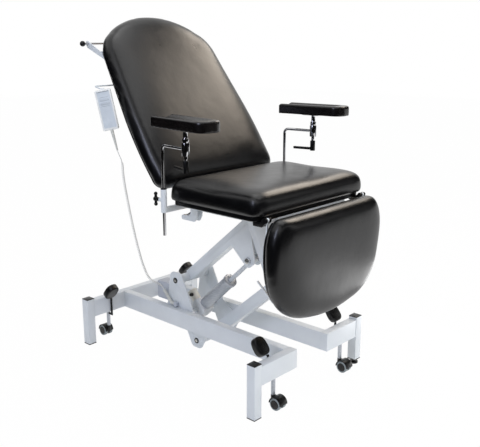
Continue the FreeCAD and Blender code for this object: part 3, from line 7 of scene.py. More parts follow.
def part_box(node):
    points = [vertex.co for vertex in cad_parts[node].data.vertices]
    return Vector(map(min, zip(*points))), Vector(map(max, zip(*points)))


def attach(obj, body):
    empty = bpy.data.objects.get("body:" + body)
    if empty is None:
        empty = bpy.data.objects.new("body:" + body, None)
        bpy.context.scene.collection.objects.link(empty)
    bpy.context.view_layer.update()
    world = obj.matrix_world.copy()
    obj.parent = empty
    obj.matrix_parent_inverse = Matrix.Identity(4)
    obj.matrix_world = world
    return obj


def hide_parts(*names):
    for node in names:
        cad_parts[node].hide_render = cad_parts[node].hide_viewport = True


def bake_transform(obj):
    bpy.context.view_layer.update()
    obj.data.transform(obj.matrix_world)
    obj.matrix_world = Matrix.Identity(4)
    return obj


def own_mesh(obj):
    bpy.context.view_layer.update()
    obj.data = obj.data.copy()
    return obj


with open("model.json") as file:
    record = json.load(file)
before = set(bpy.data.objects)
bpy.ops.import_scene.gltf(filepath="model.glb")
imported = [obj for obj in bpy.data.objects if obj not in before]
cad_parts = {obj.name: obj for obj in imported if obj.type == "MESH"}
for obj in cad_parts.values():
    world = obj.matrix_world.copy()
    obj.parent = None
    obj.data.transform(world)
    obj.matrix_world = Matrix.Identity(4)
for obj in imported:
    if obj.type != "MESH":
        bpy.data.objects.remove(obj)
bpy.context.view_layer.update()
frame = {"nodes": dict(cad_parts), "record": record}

bl_info = {
    "name": "Phlebotomy chair finish",
    "version": (1, 0, 0),
    "blender": (4, 5, 0),
    "location": "3D View > Sidebar > Chair",
    "description": "Dresses the chair's frame with paint, upholstery, chrome, handset, cord and castors",
    "category": "Object",
}


def linear(hex_colour):
    """An sRGB hex colour as linear red, green and blue."""
    channels = [int(hex_colour[place:place + 2], 16) / 255 for place in (1, 3, 5)]
    return tuple(c / 12.92 if c <= 0.04045 else ((c + 0.055) / 1.055) ** 2.4 for c in channels)


def rgba(colour):
    return (*colour, 1.0)


BODY_OF = {node: body for body, nodes in frame["record"]["behaviour"]["bodies"].items() for node in nodes}
SETBACK = 0.0353
ACROSS = Vector((1, 0, 0))
MM = 0.001


def node_centre(node):
    low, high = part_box(node)
    return (low + high) / 2


def colour_setting(name, description, hex_colour):
    return bpy.props.FloatVectorProperty(
        name=name, description=description, subtype="COLOR", size=3, min=0, max=1, default=linear(hex_colour))


def length_setting(name, description, default, low=0.0, high=0.02):
    return bpy.props.FloatProperty(
        name=name, description=description, unit="LENGTH", default=default, min=low, max=high)


def level_setting(name, description, default, low=0.0, high=200.0):
    return bpy.props.FloatProperty(name=name, description=description, default=default, min=low, max=high)


def rounds_setting(name, description, default):
    return bpy.props.IntProperty(name=name, description=description, default=default, min=0, max=200)


class PaintSettings(bpy.types.PropertyGroup):
    coat: colour_setting("Coat colour", "Polyester powder coat of the tubes and plates", "#dbe2e8")
    edge: length_setting("Tube edge", "Outer radius of the square tubes' corners", 0.003)
    plate_edge: length_setting("Plate edge", "Broken edge of the cut plates", 0.0012)
    small_edge: length_setting("Small edge", "Edge radius of small moulded and turned pieces", 0.0008)
    weld: length_setting("Weld bead", "Radius of the weld beads where tubes meet", 0.0022)


class UpholsterySettings(bpy.types.PropertyGroup):
    vinyl: colour_setting("Vinyl colour", "Expanded vinyl over foam", "#08080a")
    voxel: length_setting("Remesh size", "Edge length of the cloth's mesh", 0.0081, 0.004)
    pressure: level_setting("Foam pressure", "Pressure of the foam on its cover", 4.0, high=20)
    swell: length_setting("Largest swell", "Furthest that the cover may move from the foam's cut shape", 0.007)
    evening: rounds_setting("Evening", "Rounds of averaging of the cover's swell", 45)
    draw_in: length_setting("Draw-in", "How much smaller the cover starts than the cushion", 0.003)
    foot: length_setting("Foot height", "Height of the curved foot of a cushion's sides", 0.045, 0.01, 0.09)
    under: length_setting("Drawn under", "How far the foot curves in", 0.012)
    calm: rounds_setting("Cover tension", "Rounds of smoothing of the whole cover", 26)
    shoulder: level_setting("Shoulder", "Over how many degrees the back's shoulders are rounded", 13.0, 1, 30)
    welt: length_setting("Edge welt", "Radius of the rolled edge where the cover turns under", 0.0024)


class HardwareSettings(bpy.types.PropertyGroup):
    chrome: colour_setting("Chrome colour", "Bright chrome plating", "#c9c9cb")
    plastic: colour_setting("Black plastic", "Moulded polyamide of caps, knobs, pedals and hoods", "#09090a")
    tread: colour_setting("Tread colour", "Grey rubber tyre of the castors", "#98a2a6")
    tread_width: length_setting("Tread width", "Width of the tyre seen from the side", 0.0065)


class HandsetSettings(bpy.types.PropertyGroup):
    shell: colour_setting("Shell colour", "Off-white shell of the handset", "#e9ecec")
    panel: colour_setting("Panel colour", "Blue-grey key panel", "#ccd5de")
    keys: colour_setting("Key colour", "Pale grey keys", "#c3ccd5")
    border: length_setting("Panel border", "Rim of the shell around the key panel", 0.0065)
    cord: length_setting("Curl diameter", "Outer diameter of the cord's curls", 0.011)
    wire: length_setting("Wire diameter", "Diameter of the wire that is curled", 0.0035)
    pitch: length_setting("Curl pitch", "Distance from one curl to the next", 0.0085)


class StageSettings(bpy.types.PropertyGroup):
    camera_place: bpy.props.FloatVectorProperty(
        name="Camera place", description="Where the camera stands",
        unit="LENGTH", size=3, default=(-2.165365, -2.131715 + SETBACK, 1.380096))
    camera_turn: bpy.props.FloatVectorProperty(
        name="Camera turn", description="The camera's rotation",
        subtype="EULER", size=3, default=(math.radians(75.75), 0.0, math.radians(-47.36)))
    lens: level_setting("Lens", "Focal length in millimetres", 53.666, 20)
    key_power: level_setting("Key light", "Power of the large soft box on the right", 32.0)
    strip_power: level_setting("Strip light", "Power of the narrow light on the left", 18.0)
    front_power: level_setting("Front fill", "Power of the front light, which leaves no reflection", 34.0)
    low_power: level_setting("Low light", "Power of the low light on the right", 2.4)
    top_power: level_setting("Top light", "Power of the overhead light", 26.0)
    ambient: level_setting("Ambient light", "Strength of the room's even light", 0.52)


GROUPS = {
    "chair_paint": PaintSettings,
    "chair_upholstery": UpholsterySettings,
    "chair_hardware": HardwareSettings,
    "chair_handset": HandsetSettings,
    "chair_stage": StageSettings,
}


def settings(group):
    return getattr(bpy.context.scene, group)


# Materials

def add_node(tree, kind, properties=None, values=None, links=None):
    """Adds a node and sets its properties, its input values and the links into it."""
    node = tree.nodes.new(kind)
    for name, setting in (properties or {}).items():
        setattr(node, name, setting)
    for name, number in (values or {}).items():
        node.inputs[name].default_value = number
    for name, socket in (links or {}).items():
        tree.links.new(socket, node.inputs[name])
    return node


def finish_named(name, colour, roughness, metallic=0.0):
    """A material of that name with its shader, or None for the shader if it was made before."""
    made = bpy.data.materials.get(name)
    if made:
        return made, None, None
    made = bpy.data.materials.new(name)
    made.use_nodes = True
    tree = made.node_tree
    shader = tree.nodes["Principled BSDF"]
    shader.inputs["Base Color"].default_value = rgba(colour)
    shader.inputs["Roughness"].default_value = roughness
    shader.inputs["Metallic"].default_value = metallic
    return made, tree, shader


def grain(tree, shader, size, height, spread, detail=2.0, stretch=(1, 1, 1)):
    """A bump pattern whose features are about size apart, with a roughness range that follows it."""
    place = add_node(tree, "ShaderNodeTexCoord")
    scaled = add_node(tree, "ShaderNodeMapping", values={"Scale": stretch}, links={"Vector": place.outputs["Object"]})
    noise = add_node(tree, "ShaderNodeTexNoise", values={"Scale": 1 / size, "Detail": detail, "Roughness": 0.55},
                     links={"Vector": scaled.outputs["Vector"]})
    bump = add_node(tree, "ShaderNodeBump", values={"Strength": 1.0, "Distance": height},
                    links={"Height": noise.outputs["Fac"]})
    rough = add_node(tree, "ShaderNodeMapRange", values={"To Min": spread[0], "To Max": spread[1]},
                     links={"Value": noise.outputs["Fac"]})
    tree.links.new(bump.outputs["Normal"], shader.inputs["Normal"])
    tree.links.new(rough.outputs["Result"], shader.inputs["Roughness"])
    return scaled.outputs["Vector"]


def ramp_between(tree, level, low, high, first, second):
    """A colour that runs from the first to the second as the level runs from low to high."""
    ramp = add_node(tree, "ShaderNodeValToRGB", links={"Fac": level})
    for element, place, colour in zip(ramp.color_ramp.elements, (low, high), (first, second)):
        element.position = place
        element.color = rgba(colour)
    return ramp.outputs["Color"]


def tinted(tree, shader, place, size, first, second):
    """Two near colours that drift into each other over a distance of about size."""
    drift = add_node(tree, "ShaderNodeTexNoise", values={"Scale": 1 / size, "Detail": 3.0}, links={"Vector": place})
    colour = ramp_between(tree, drift.outputs["Fac"], 0.35, 0.65, first, second)
    tree.links.new(colour, shader.inputs["Base Color"])
    return colour


def shade(colour, factor):
    return tuple(min(1.0, channel * factor) for channel in colour)


def finished(name, colour, roughness, pattern, drift, tints, metallic=0.0, levels=None, **grain_options):
    """A finish from a colour, a pattern of (size, height, roughness range) and tints that drift, in millimetres.

    A tint is a hex colour, or a factor on the finish's own colour.
    """
    made, tree, shader = finish_named(name, colour, roughness, metallic)
    if tree is None:
        return made
    size, height, spread = pattern
    place = grain(tree, shader, size * MM, height * MM, spread, **grain_options)
    ends = [linear(tint) if isinstance(tint, str) else shade(colour, tint) for tint in tints]
    tinted(tree, shader, place, drift * MM, *ends)
    for socket, level in (levels or {}).items():
        shader.inputs[socket].default_value = level
    return made


def powder_coat():
    """Polyester powder coat: an even satin film with a fine orange peel, and a painted highlight that lightens the
    convex edges.
    """
    colour = tuple(settings("chair_paint").coat)
    made, tree, shader = finish_named("powder_coat_satin", colour, 0.4)
    if tree is None:
        return made
    place = grain(tree, shader, 2.2 * MM, 0.05 * MM, (0.34, 0.46))
    film = tinted(tree, shader, place, 90 * MM, shade(colour, 0.965), shade(colour, 1.02))
    # Painted highlight: convex edges, found by their pointiness, are mixed towards a lighter grey.
    edges = add_node(tree, "ShaderNodeNewGeometry")
    painted_edge_highlight = ramp_between(tree, edges.outputs["Pointiness"], 0.52, 0.6, (0.0, 0.0, 0.0), (0.35, 0.35, 0.35))
    mix = add_node(tree, "ShaderNodeMix", {"data_type": "RGBA"}, links={"Factor": painted_edge_highlight})
    tree.links.new(film, mix.inputs["A"])
    mix.inputs["B"].default_value = rgba(linear("#dfe3ea"))
    tree.links.new(mix.outputs["Result"], shader.inputs["Base Color"])
    shader.inputs["Coat Weight"].default_value = 0.12
    shader.inputs["Coat Roughness"].default_value = 0.25
    return made


def vinyl():
    """Expanded vinyl: a soft leather-like grain, a satin gloss and faint pulls over the foam."""
    colour = tuple(settings("chair_upholstery").vinyl)
    made, tree, shader = finish_named("vinyl_upholstery", colour, 0.3)
    if tree is None:
        return made
    place = add_node(tree, "ShaderNodeTexCoord").outputs["Object"]
    # The real grain is about 1 mm; it is drawn at 3 mm so that it shows at this distance.
    cells = add_node(tree, "ShaderNodeTexVoronoi", {"feature": "SMOOTH_F1"},
                     {"Scale": 1 / (3 * MM), "Smoothness": 0.6}, {"Vector": place})
    pulls = add_node(tree, "ShaderNodeTexNoise", values={"Scale": 1 / (70 * MM), "Detail": 2.0},
                     links={"Vector": place})
    broad = add_node(tree, "ShaderNodeBump", values={"Strength": 1.0, "Distance": 0.8 * MM},
                     links={"Height": pulls.outputs["Fac"]})
    fine = add_node(tree, "ShaderNodeBump", values={"Strength": 0.5, "Distance": 0.1 * MM},
                    links={"Height": cells.outputs["Distance"], "Normal": broad.outputs["Normal"]})
    worn = add_node(tree, "ShaderNodeMapRange", values={"To Min": 0.25, "To Max": 0.35},
                    links={"Value": pulls.outputs["Fac"]})
    mottled = ramp_between(tree, pulls.outputs["Fac"], 0.3, 0.7, shade(colour, 0.8), shade(colour, 1.25))
    tree.links.new(fine.outputs["Normal"], shader.inputs["Normal"])
    tree.links.new(worn.outputs["Result"], shader.inputs["Roughness"])
    tree.links.new(mottled, shader.inputs["Base Color"])
    return made


def plywood():
    """Birch plywood: long soft grain along the sheet in a pale honey colour."""
    made, tree, shader = finish_named("birch_plywood", linear("#c9a877"), 0.55)
    if tree is None:
        return made
    place = add_node(tree, "ShaderNodeTexCoord")
    along = add_node(tree, "ShaderNodeMapping", values={"Scale": (1, 0.08, 0.08)},
                     links={"Vector": place.outputs["Object"]})
    fibre = add_node(tree, "ShaderNodeTexNoise", values={"Scale": 1 / (5 * MM), "Detail": 6.0, "Distortion": 0.4},
                     links={"Vector": along.outputs["Vector"]})
    honey = ramp_between(tree, fibre.outputs["Fac"], 0.32, 0.7, linear("#a98453"), linear("#d8bb8c"))
    bump = add_node(tree, "ShaderNodeBump", values={"Strength": 1.0, "Distance": 0.12 * MM},
                    links={"Height": fibre.outputs["Fac"]})
    tree.links.new(honey, shader.inputs["Base Color"])
    tree.links.new(bump.outputs["Normal"], shader.inputs["Normal"])
    return made


def arm_vinyl():
    """The armrest pads' integral-skin foam: smoother and a little browner than the cushions."""
    return finished("integral_skin_foam", linear("#0e0b0b"), 0.26, (4, 0.08, (0.22, 0.3)), 60, ("#0b0909", "#120e0e"))


def black_plastic():
    """Glass-filled polyamide: near black, with a fine spark-eroded texture."""
    return finished("polyamide_black", tuple(settings("chair_hardware").plastic), 0.36, (1.4, 0.06, (0.3, 0.42)),
                    30, (0.8, 1.3), levels={"Specular IOR Level": 0.4})


def black_steel():
    """Black-oxidised steel rod: dark, slightly oily, with faint drawing lines."""
    return finished("black_oxide_steel", linear("#1b1c1f"), 0.35, (1.5, 0.04, (0.3, 0.45)), 20,
                    ("#16171a", "#26272b"), metallic=0.7)


def chrome():
    """Bright chrome plating: a mirror with a trace of polishing haze and a cool tint."""
    return finished("chrome_plate", tuple(settings("chair_hardware").chrome), 0.08, (6, 0.012, (0.05, 0.13)), 25,
                    (0.9, 1.03), metallic=1.0)


def zinc():
    """Zinc-plated steel: satin silver with a faint yellow and blue passivation drift."""
    return finished("zinc_plate", linear("#b4b6b6"), 0.3, (3, 0.03, (0.22, 0.42)), 12, ("#a9acb0", "#c4c1b4"),
                    metallic=1.0)


def satin_steel():
    """Ground and silver-painted steel of the castor stems and the actuator's tube."""
    return finished("ground_steel_silver", linear("#b9bec6"), 0.36, (1.5, 0.03, (0.3, 0.44)), 20,
                    ("#aeb4bd", "#c3c7cd"), metallic=0.55, stretch=(1, 1, 6))


def dark_enamel():
    """Black enamel of the gas spring's cylinder: smooth and glossy."""
    return finished("enamel_black_gloss", linear("#101113"), 0.22, (5, 0.02, (0.16, 0.28)), 40,
                    ("#0d0e10", "#17181a"))


def moulded(name, colour, roughness=0.45):
    """A light moulded housing plastic such as ABS: even colour and a fine matt texture."""
    return finished(name, colour, roughness, (1.6, 0.06, (roughness - 0.06, roughness + 0.08)), 45, (0.95, 1.03),
                    levels={"Subsurface Weight": 0.03, "Subsurface Radius": (0.002, 0.002, 0.002)})


def tread_rubber():
    """Grey thermoplastic rubber tyre: matt, with scuffs from rolling."""
    return finished("tyre_rubber_grey", tuple(settings("chair_hardware").tread), 0.6, (1.8, 0.12, (0.5, 0.72)), 9,
                    (0.78, 1.08), detail=4)


def cord_sheath():
    """Soft grey PVC sheath: satin, a little uneven where it has been handled."""
    return finished("pvc_sheath_grey", linear("#dfe1df"), 0.42, (2, 0.05, (0.36, 0.5)), 60, ("#d6d9d7", "#e6e8e6"))


def plug_plastic():
    """Soft grey PVC moulded onto the cord."""
    return moulded("pvc_moulded_grey", linear("#cfd1cc"))


# Modelling helpers

def only(piece):
    """Selects one object alone and makes it the active one."""
    bpy.ops.object.select_all(action="DESELECT")
    piece.select_set(True)
    bpy.context.view_layer.objects.active = piece
    return piece


def edit(piece):
    only(piece)
    bpy.ops.object.mode_set(mode="EDIT")
    bpy.ops.mesh.select_all(action="DESELECT")


def done():
    bpy.ops.object.mode_set(mode="OBJECT")


def pick_faces(piece, test):
    """Selects the faces that pass the test, from object mode, and opens edit mode."""
    only(piece)
    for face in piece.data.polygons:
        face.select = bool(test(face))
    for edge in piece.data.edges:
        edge.select = False
    for vertex in piece.data.vertices:
        vertex.select = False
    for face in piece.data.polygons:
        if face.select:
            for vertex in face.vertices:
                piece.data.vertices[vertex].select = True
    bpy.ops.object.mode_set(mode="EDIT")
    bpy.ops.mesh.select_mode(type="FACE")


def apply_modifier(piece, kind, **properties):
    """Adds a modifier with its settings and applies it."""
    only(piece)
    modifier = piece.modifiers.new(kind.lower(), kind)
    for name, setting in properties.items():
        setattr(modifier, name, setting)
    bpy.ops.object.modifier_apply(modifier=modifier.name)
    return piece


def bevelled(piece, width, segments=2, angle=30):
    if width > 0:
        apply_modifier(piece, "BEVEL", width=width, segments=segments, limit_method="ANGLE",
                       angle_limit=math.radians(angle), use_clamp_overlap=True)
    return piece


def smooth(piece, angle=35):
    only(piece)
    bpy.ops.object.shade_smooth_by_angle(angle=math.radians(angle))
    return piece


def copied(node, name, merge=1e-5, flat=1.0):
    """A new piece with a copy of a node's mesh: doubles merged and flat faces made whole."""
    piece = bpy.data.objects.new(name, frame["nodes"][node].data.copy())
    bpy.context.scene.collection.objects.link(piece)
    edit(piece)
    bpy.ops.mesh.select_all(action="SELECT")
    bpy.ops.mesh.remove_doubles(threshold=merge)
    bpy.ops.mesh.dissolve_limited(angle_limit=math.radians(flat))
    done()
    if piece.data.has_custom_normals:
        bpy.ops.mesh.customdata_custom_splitnormals_clear()
    return piece


def painted(piece, *materials):
    piece.data.materials.clear()
    for material in materials:
        piece.data.materials.append(material)
    return piece


def mounted(piece, *nodes, body=None, slot=None):
    """Puts a piece on its body and in place of its nodes; its slot is not used."""
    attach(piece, body or BODY_OF[nodes[0]])
    if nodes:
        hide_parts(*nodes)
    return piece


def eased(node, name, material, width):
    """A node's own shape with its edges rounded as the real piece's are."""
    return mounted(painted(smooth(bevelled(copied(node, name), width)), material), node)


def applied_place(piece):
    """Moves a piece's place into its mesh."""
    only(piece)
    bpy.ops.object.transform_apply(location=True, rotation=True, scale=True)
    return piece


def disc(name, centre, radius, depth, direction, vertices=40):
    """A short cylinder along a direction, with its place in its mesh."""
    turn = Vector(direction).to_track_quat("Z", "Y").to_euler()
    bpy.ops.object.select_all(action="DESELECT")
    bpy.ops.mesh.primitive_cylinder_add(vertices=vertices, radius=radius, depth=depth, location=centre, rotation=turn)
    piece = bpy.context.object
    piece.name = name
    return applied_place(piece)


def joined(name, pieces):
    """Several objects as one piece."""
    only(pieces[0])
    for piece in pieces:
        piece.select_set(True)
    bpy.ops.object.join()
    pieces[0].name = name
    return pieces[0]


def moved_copy(piece, name, matrix):
    """A copy of a piece with its own mesh, moved by a matrix."""
    copy = bpy.data.objects.new(name, piece.data.copy())
    bpy.context.scene.collection.objects.link(copy)
    copy.data.transform(matrix)
    if matrix.determinant() < 0:
        copy.data.flip_normals()
    return copy


def moved_in(piece, test, steps):
    """Insets the chosen faces and moves them along their normals, step by step."""
    pick_faces(piece, test)
    for inset, depth in steps:
        bpy.ops.mesh.inset(thickness=inset, depth=0)
        bpy.ops.mesh.extrude_region_shrink_fatten(TRANSFORM_OT_shrink_fatten={"value": depth})
    done()
    return piece


def stepped_cap(piece, direction, steps):
    """Steps the largest face that looks along a direction in or out."""
    facing = [face for face in piece.data.polygons if face.normal.dot(Vector(direction)) > 0.99]
    chosen = max(facing, key=lambda face: face.area).index
    return moved_in(piece, lambda face: face.index == chosen, steps)


def curve_along(name, kind, points, resolution):
    """A curve object with one open spline on the points."""
    curve = bpy.data.curves.new(name, "CURVE")
    curve.dimensions = "3D"
    curve.resolution_u = resolution
    spline = curve.splines.new(kind)
    spline.points.add(len(points) - 1)
    for point, place in zip(spline.points, points):
        point.co = (*place, 1)
    holder = bpy.data.objects.new(name, curve)
    bpy.context.scene.collection.objects.link(holder)
    return holder


# Handset cord: the route's points, in metres in the chair's frame

RELIEF_EXIT = (-0.364, 0.2086 + SETBACK, 0.9500)
CORD_LEAD = (-0.364, 0.2034 + SETBACK, 0.9370)
CORD_ROUTE = [
    (-0.357, 0.188 + SETBACK, 0.903), (-0.342, 0.208 + SETBACK, 0.836), (-0.275, 0.246 + SETBACK, 0.628),
    (-0.240, 0.259 + SETBACK, 0.516), (-0.200, 0.272 + SETBACK, 0.405), (-0.158, 0.277 + SETBACK, 0.320),
]
CORD_MEETING = (-0.3085, 0.227 + SETBACK, 0.732)
CORD_RISE = (-0.109, 0.2554 + SETBACK, 0.2978)
PLUG_TOP = (-0.109, 0.236 + SETBACK, 0.275)
CURL_LEAD = 0.05


def route_line(name, points, steps=400):
    """The points of the route's smooth line, read from a NURBS curve without a bevel."""
    holder = curve_along(name, "NURBS", points, steps // (len(points) - 1))
    spline = holder.data.splines[0]
    spline.order_u = 3
    spline.use_endpoint_u = True
    bpy.context.view_layer.update()
    mesh = bpy.data.meshes.new_from_object(holder.evaluated_get(bpy.context.evaluated_depsgraph_get()))
    line = [vertex.co.copy() for vertex in mesh.vertices]
    bpy.data.objects.remove(holder)
    bpy.data.meshes.remove(mesh)
    return line


def line_length(line):
    return sum((after - before).length for before, after in zip(line, line[1:]))


def at_distance(line, distance):
    """The point and the direction of the line at a distance along it."""
    for before, after in zip(line, line[1:]):
        run = (after - before).length
        if distance <= run or after is line[-1]:
            return before.lerp(after, min(1.0, distance / max(run, 1e-9))), (after - before).normalized()
        distance -= run
    return line[-1], (line[-1] - line[-2]).normalized()


STEPS_PER_CURL = 10
LEAD_STEP = 0.004
CURL_GROWTH = 0.008


def curled_wire(name, line, lead_start, lead_end, phase):
    """The curly cord: a wire wound in a helix around the line, with plain leads at its ends."""
    handset = settings("chair_handset")
    curl_radius = (handset.cord - handset.wire) / 2
    length = line_length(line)
    curls = (length - lead_start - lead_end) / handset.pitch
    plain = max(2, int(lead_start / LEAD_STEP))
    points = [at_distance(line, lead_start * step / plain)[0] for step in range(plain)]
    side = ACROSS.copy()
    for step in range(int(curls * STEPS_PER_CURL) + 1):
        along = lead_start + step / STEPS_PER_CURL * handset.pitch
        place, direction = at_distance(line, along)
        side = (side - direction * side.dot(direction)).normalized()
        turn = phase + 2 * math.pi * step / STEPS_PER_CURL
        grown = min(1.0, (along - lead_start + 1e-4) / CURL_GROWTH if lead_start else 1.0)
        grown = max(0.0, min(grown, (length - lead_end - along) / CURL_GROWTH if lead_end else 1.0))
        points.append(place + (side * math.cos(turn) + direction.cross(side) * math.sin(turn)) * curl_radius * grown)
    plain = max(2, int(lead_end / LEAD_STEP)) if lead_end else 0
    for step in range(1, plain + 1):
        points.append(at_distance(line, length - lead_end * (1 - step / plain))[0])
    piece = curve_along(name, "POLY", points, 1)
    piece.data.bevel_depth = handset.wire / 2
    piece.data.bevel_resolution = 1
    piece.data.use_fill_caps = True
    return painted(rounded_mesh(piece), cord_sheath())


def rounded_mesh(piece):
    """A curve object made a smooth mesh."""
    only(piece)
    bpy.ops.object.convert(target="MESH")
    piece = only(bpy.context.object)
    bpy.ops.object.shade_smooth()
    return piece


class CHAIR_OT_camera(bpy.types.Operator):
    """Adds the camera at the photograph's viewpoint"""
    bl_idname = "chair.camera"
    bl_label = "Camera"

    def execute(self, context):
        stage = settings("chair_stage")
        camera = bpy.data.objects.new("camera", bpy.data.cameras.new("camera"))
        context.scene.collection.objects.link(camera)
        camera.location = stage.camera_place
        camera.rotation_euler = stage.camera_turn
        camera.data.lens = stage.lens
        camera.data.sensor_width = 36
        context.scene.camera = camera
        return {"FINISHED"}


class CHAIR_OT_cord(bpy.types.Operator):
    """Winds the handset's curly cord along its route, in two stretches"""
    bl_idname = "chair.cord"
    bl_label = "Handset cord"

    def execute(self, context):
        handset = settings("chair_handset")
        plug = eased("control_plug", "plug_moulded", plug_plastic(), 0)
        sleeve = strain_relief()
        upper = route_line("upper_route", [RELIEF_EXIT, CORD_LEAD, *CORD_ROUTE[:2], CORD_MEETING])
        lower = route_line("lower_route", [CORD_MEETING, *CORD_ROUTE[2:], CORD_RISE, PLUG_TOP])
        first = curled_wire("curly_cord_upper", upper, CURL_LEAD, 0.0, 0.0)
        turns = (line_length(upper) - CURL_LEAD) / handset.pitch
        second = curled_wire("curly_cord_lower", lower, 0.0, 0.02, 2 * math.pi * turns)
        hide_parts("cord_upper")
        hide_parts("cord_lower")
        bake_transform(first)
        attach(second, "base")
        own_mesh(second)
        return {"FINISHED"}


# Painted frame

TUBE_NODES = {
    "base_rails": "rails_coated", "cross_members": "cross_members_coated", "leg_posts": "leg_posts_coated",
    "upper_lift_arm": "upper_arm_coated", "lower_lift_arm": "lower_arm_coated", "seat_frame": "seat_frame_coated",
    "back_frame": "back_frame_coated",
}
PLATE_NODES = {
    "lift_pivot_plates": "pivot_plates_coated", "lift_hanger_plates": "hanger_plates_coated",
    "armrest_sockets": "sockets_coated", "leg_rest_frame": "leg_rest_frame_coated",
}
WELD_SEGMENTS = 26
WELD_PROUD = 0.0005
WELD_SHORT = 0.005
RAIL_WIDTH = 0.0375
PIVOT_HEAD = 0.014


def weld_bead(x, y, low, high):
    """An upright weld bead, rippled along its length and drawn in at its ends."""
    radius = settings("chair_paint").weld
    bead = disc("bead", (x, y, (low + high) / 2), radius, high - low, (0, 0, 1), vertices=8)
    edit(bead)
    bpy.ops.mesh.select_mode(type="EDGE")
    done()
    for edge in bead.data.edges:
        first, last = (bead.data.vertices[index].co for index in edge.vertices)
        edge.select = abs(last.z - first.z) > 0.99 * (high - low)
    bpy.ops.object.mode_set(mode="EDIT")
    bpy.ops.mesh.subdivide(number_cuts=WELD_SEGMENTS)
    done()
    for vertex in bead.data.vertices:
        along = vertex.co.z - low
        ripple = 0.82 + 0.18 * abs(math.sin(math.pi * along / (radius * 1.7)))
        ends = min(1.0, 0.35 + min(along, high - vertex.co.z) / (radius * 2))
        vertex.co.x = x + (vertex.co.x - x) * ripple * ends
        vertex.co.y = y + (vertex.co.y - y) * ripple * ends
    return bead


def base_welds():
    """Beads up the corners where the side rails meet the cross members and the legs."""
    low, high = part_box("base_rails")
    cross_low, cross_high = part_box("cross_members")
    inner = min(abs(vertex.co.x) for vertex in frame["nodes"]["base_rails"].data.vertices)
    beads = []
    for side in (-1, 1):
        for x, y in ((high.x + WELD_PROUD, low.y), (high.x + WELD_PROUD, high.y), (inner, high.y)):
            beads.append(weld_bead(side * x, y, low.z + WELD_SHORT, high.z - WELD_SHORT))
        for y in (cross_low.y, cross_low.y + RAIL_WIDTH, cross_high.y - RAIL_WIDTH, cross_high.y):
            beads.append(weld_bead(side * cross_high.x, y, low.z + WELD_SHORT, high.z - WELD_SHORT))
    return beads


class CHAIR_OT_frame(bpy.types.Operator):
    """Coats the base, the lifting arms, the seat frame and the back frame"""
    bl_idname = "chair.frame"
    bl_label = "Painted frame"

    def execute(self, context):
        paint = settings("chair_paint")
        for node, name in TUBE_NODES.items():
            eased(node, name, powder_coat(), paint.edge if node != "back_frame" else paint.plate_edge)
        for node, name in PLATE_NODES.items():
            eased(node, name, powder_coat(), paint.plate_edge)
        beads = joined("base_welds", base_welds())
        smooth(beads, 60)
        mounted(painted(beads, powder_coat()), body="base", slot="frame_paint")
        fasteners()
        return {"FINISHED"}


BOLT_RADIUS = 0.0088
WASHER_DEPTH = 0.002
HEAD_DEPTH = 0.0056
SHANK_RADIUS = 0.0076
SHANK_LENGTH = 0.2056
BUSH_RADIUS = 0.0128
BUSH_DEPTH = 0.0024
BUSH_PLACE = 0.1009
BUSH_STEPS = ((0.0022, -0.0016),)
EYE_OUTSIDE = 0.036


def hex_bolt(centre, side):
    """A washer under a chamfered hexagon head, with its axis across the chair."""
    out = ACROSS * side
    washer = disc("washer", centre + out * WASHER_DEPTH / 2, BOLT_RADIUS * 1.25, WASHER_DEPTH, out)
    head = disc("head", centre + out * (WASHER_DEPTH + HEAD_DEPTH / 2), BOLT_RADIUS, HEAD_DEPTH, out, vertices=6)
    return [bevelled(washer, 0.0005), bevelled(head, BOLT_RADIUS * 0.12)]


def fasteners():
    """The pivots: shanks through the base plates in black bushes, whose black also serves as painted shade in the
    recess round each pin, and the bolts of the actuator's top eye.
    """
    low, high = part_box("pivot_bolts")
    shanks, bushes_with_painted_shade = [], []
    for y, z in ((low.y + PIVOT_HEAD, low.z + PIVOT_HEAD), (high.y - PIVOT_HEAD, high.z - PIVOT_HEAD)):
        shanks.append(bevelled(disc("shank", (0, y, z), SHANK_RADIUS, SHANK_LENGTH, ACROSS), 0.0012))
        for side in (-1, 1):
            out = ACROSS * side
            # Painted shade: each bush's black, recessed face also stands in for the dark recess round the pin.
            bush = disc("bush", (side * BUSH_PLACE, y, z), BUSH_RADIUS, BUSH_DEPTH, out, vertices=48)
            bushes_with_painted_shade.append(bevelled(stepped_cap(bush, out, BUSH_STEPS), 0.0004))
    mounted(painted(smooth(joined("pivot_bolts_plated", shanks)), zinc()), "pivot_bolts")
    rings = joined("pivot_bushes", bushes_with_painted_shade)
    mounted(painted(smooth(rings), black_plastic()), body="base", slot="black_plastic")
    rod = frame["nodes"]["actuator_rod"].data.vertices
    eye_ends = [vertex.co for vertex in rod if abs(vertex.co.x) > EYE_OUTSIDE]
    eye = sum(eye_ends, Vector()) / len(eye_ends)
    eye_reach = max(abs(place.x) for place in eye_ends)
    heads = [piece for side in (-1, 1) for piece in hex_bolt(Vector((side * eye_reach, eye.y, eye.z)), side)]
    mounted(painted(smooth(joined("actuator_eye_bolts", heads)), zinc()), body=BODY_OF["actuator_rod"],
            slot="zinc_bolts")


# Small moulded pieces and bright metal

MOULDED_NODES = {
    "leg_end_caps": ("leg_caps_moulded", black_plastic), "levelling_foot": ("levelling_foot_moulded", black_plastic),
    "leg_rest_hinge_blocks": ("hinge_blocks_moulded", black_plastic),
    "armrest_bush_left": ("bush_left_moulded", black_plastic),
    "armrest_bush_right": ("bush_right_moulded", black_plastic),
    "clamp_lever_left": ("clamp_lever_left_moulded", black_plastic),
    "clamp_lever_right": ("clamp_lever_right_moulded", black_plastic),
    "gas_spring_cylinder": ("gas_cylinder_enamelled", dark_enamel), "gas_spring_rod": ("gas_rod_chromed", chrome),
    "pad_post_left": ("pad_post_left_chromed", chrome), "pad_post_right": ("pad_post_right_chromed", chrome),
    "armrest_pole_left": ("pole_left_chromed", chrome), "armrest_pole_right": ("pole_right_chromed", chrome),
}


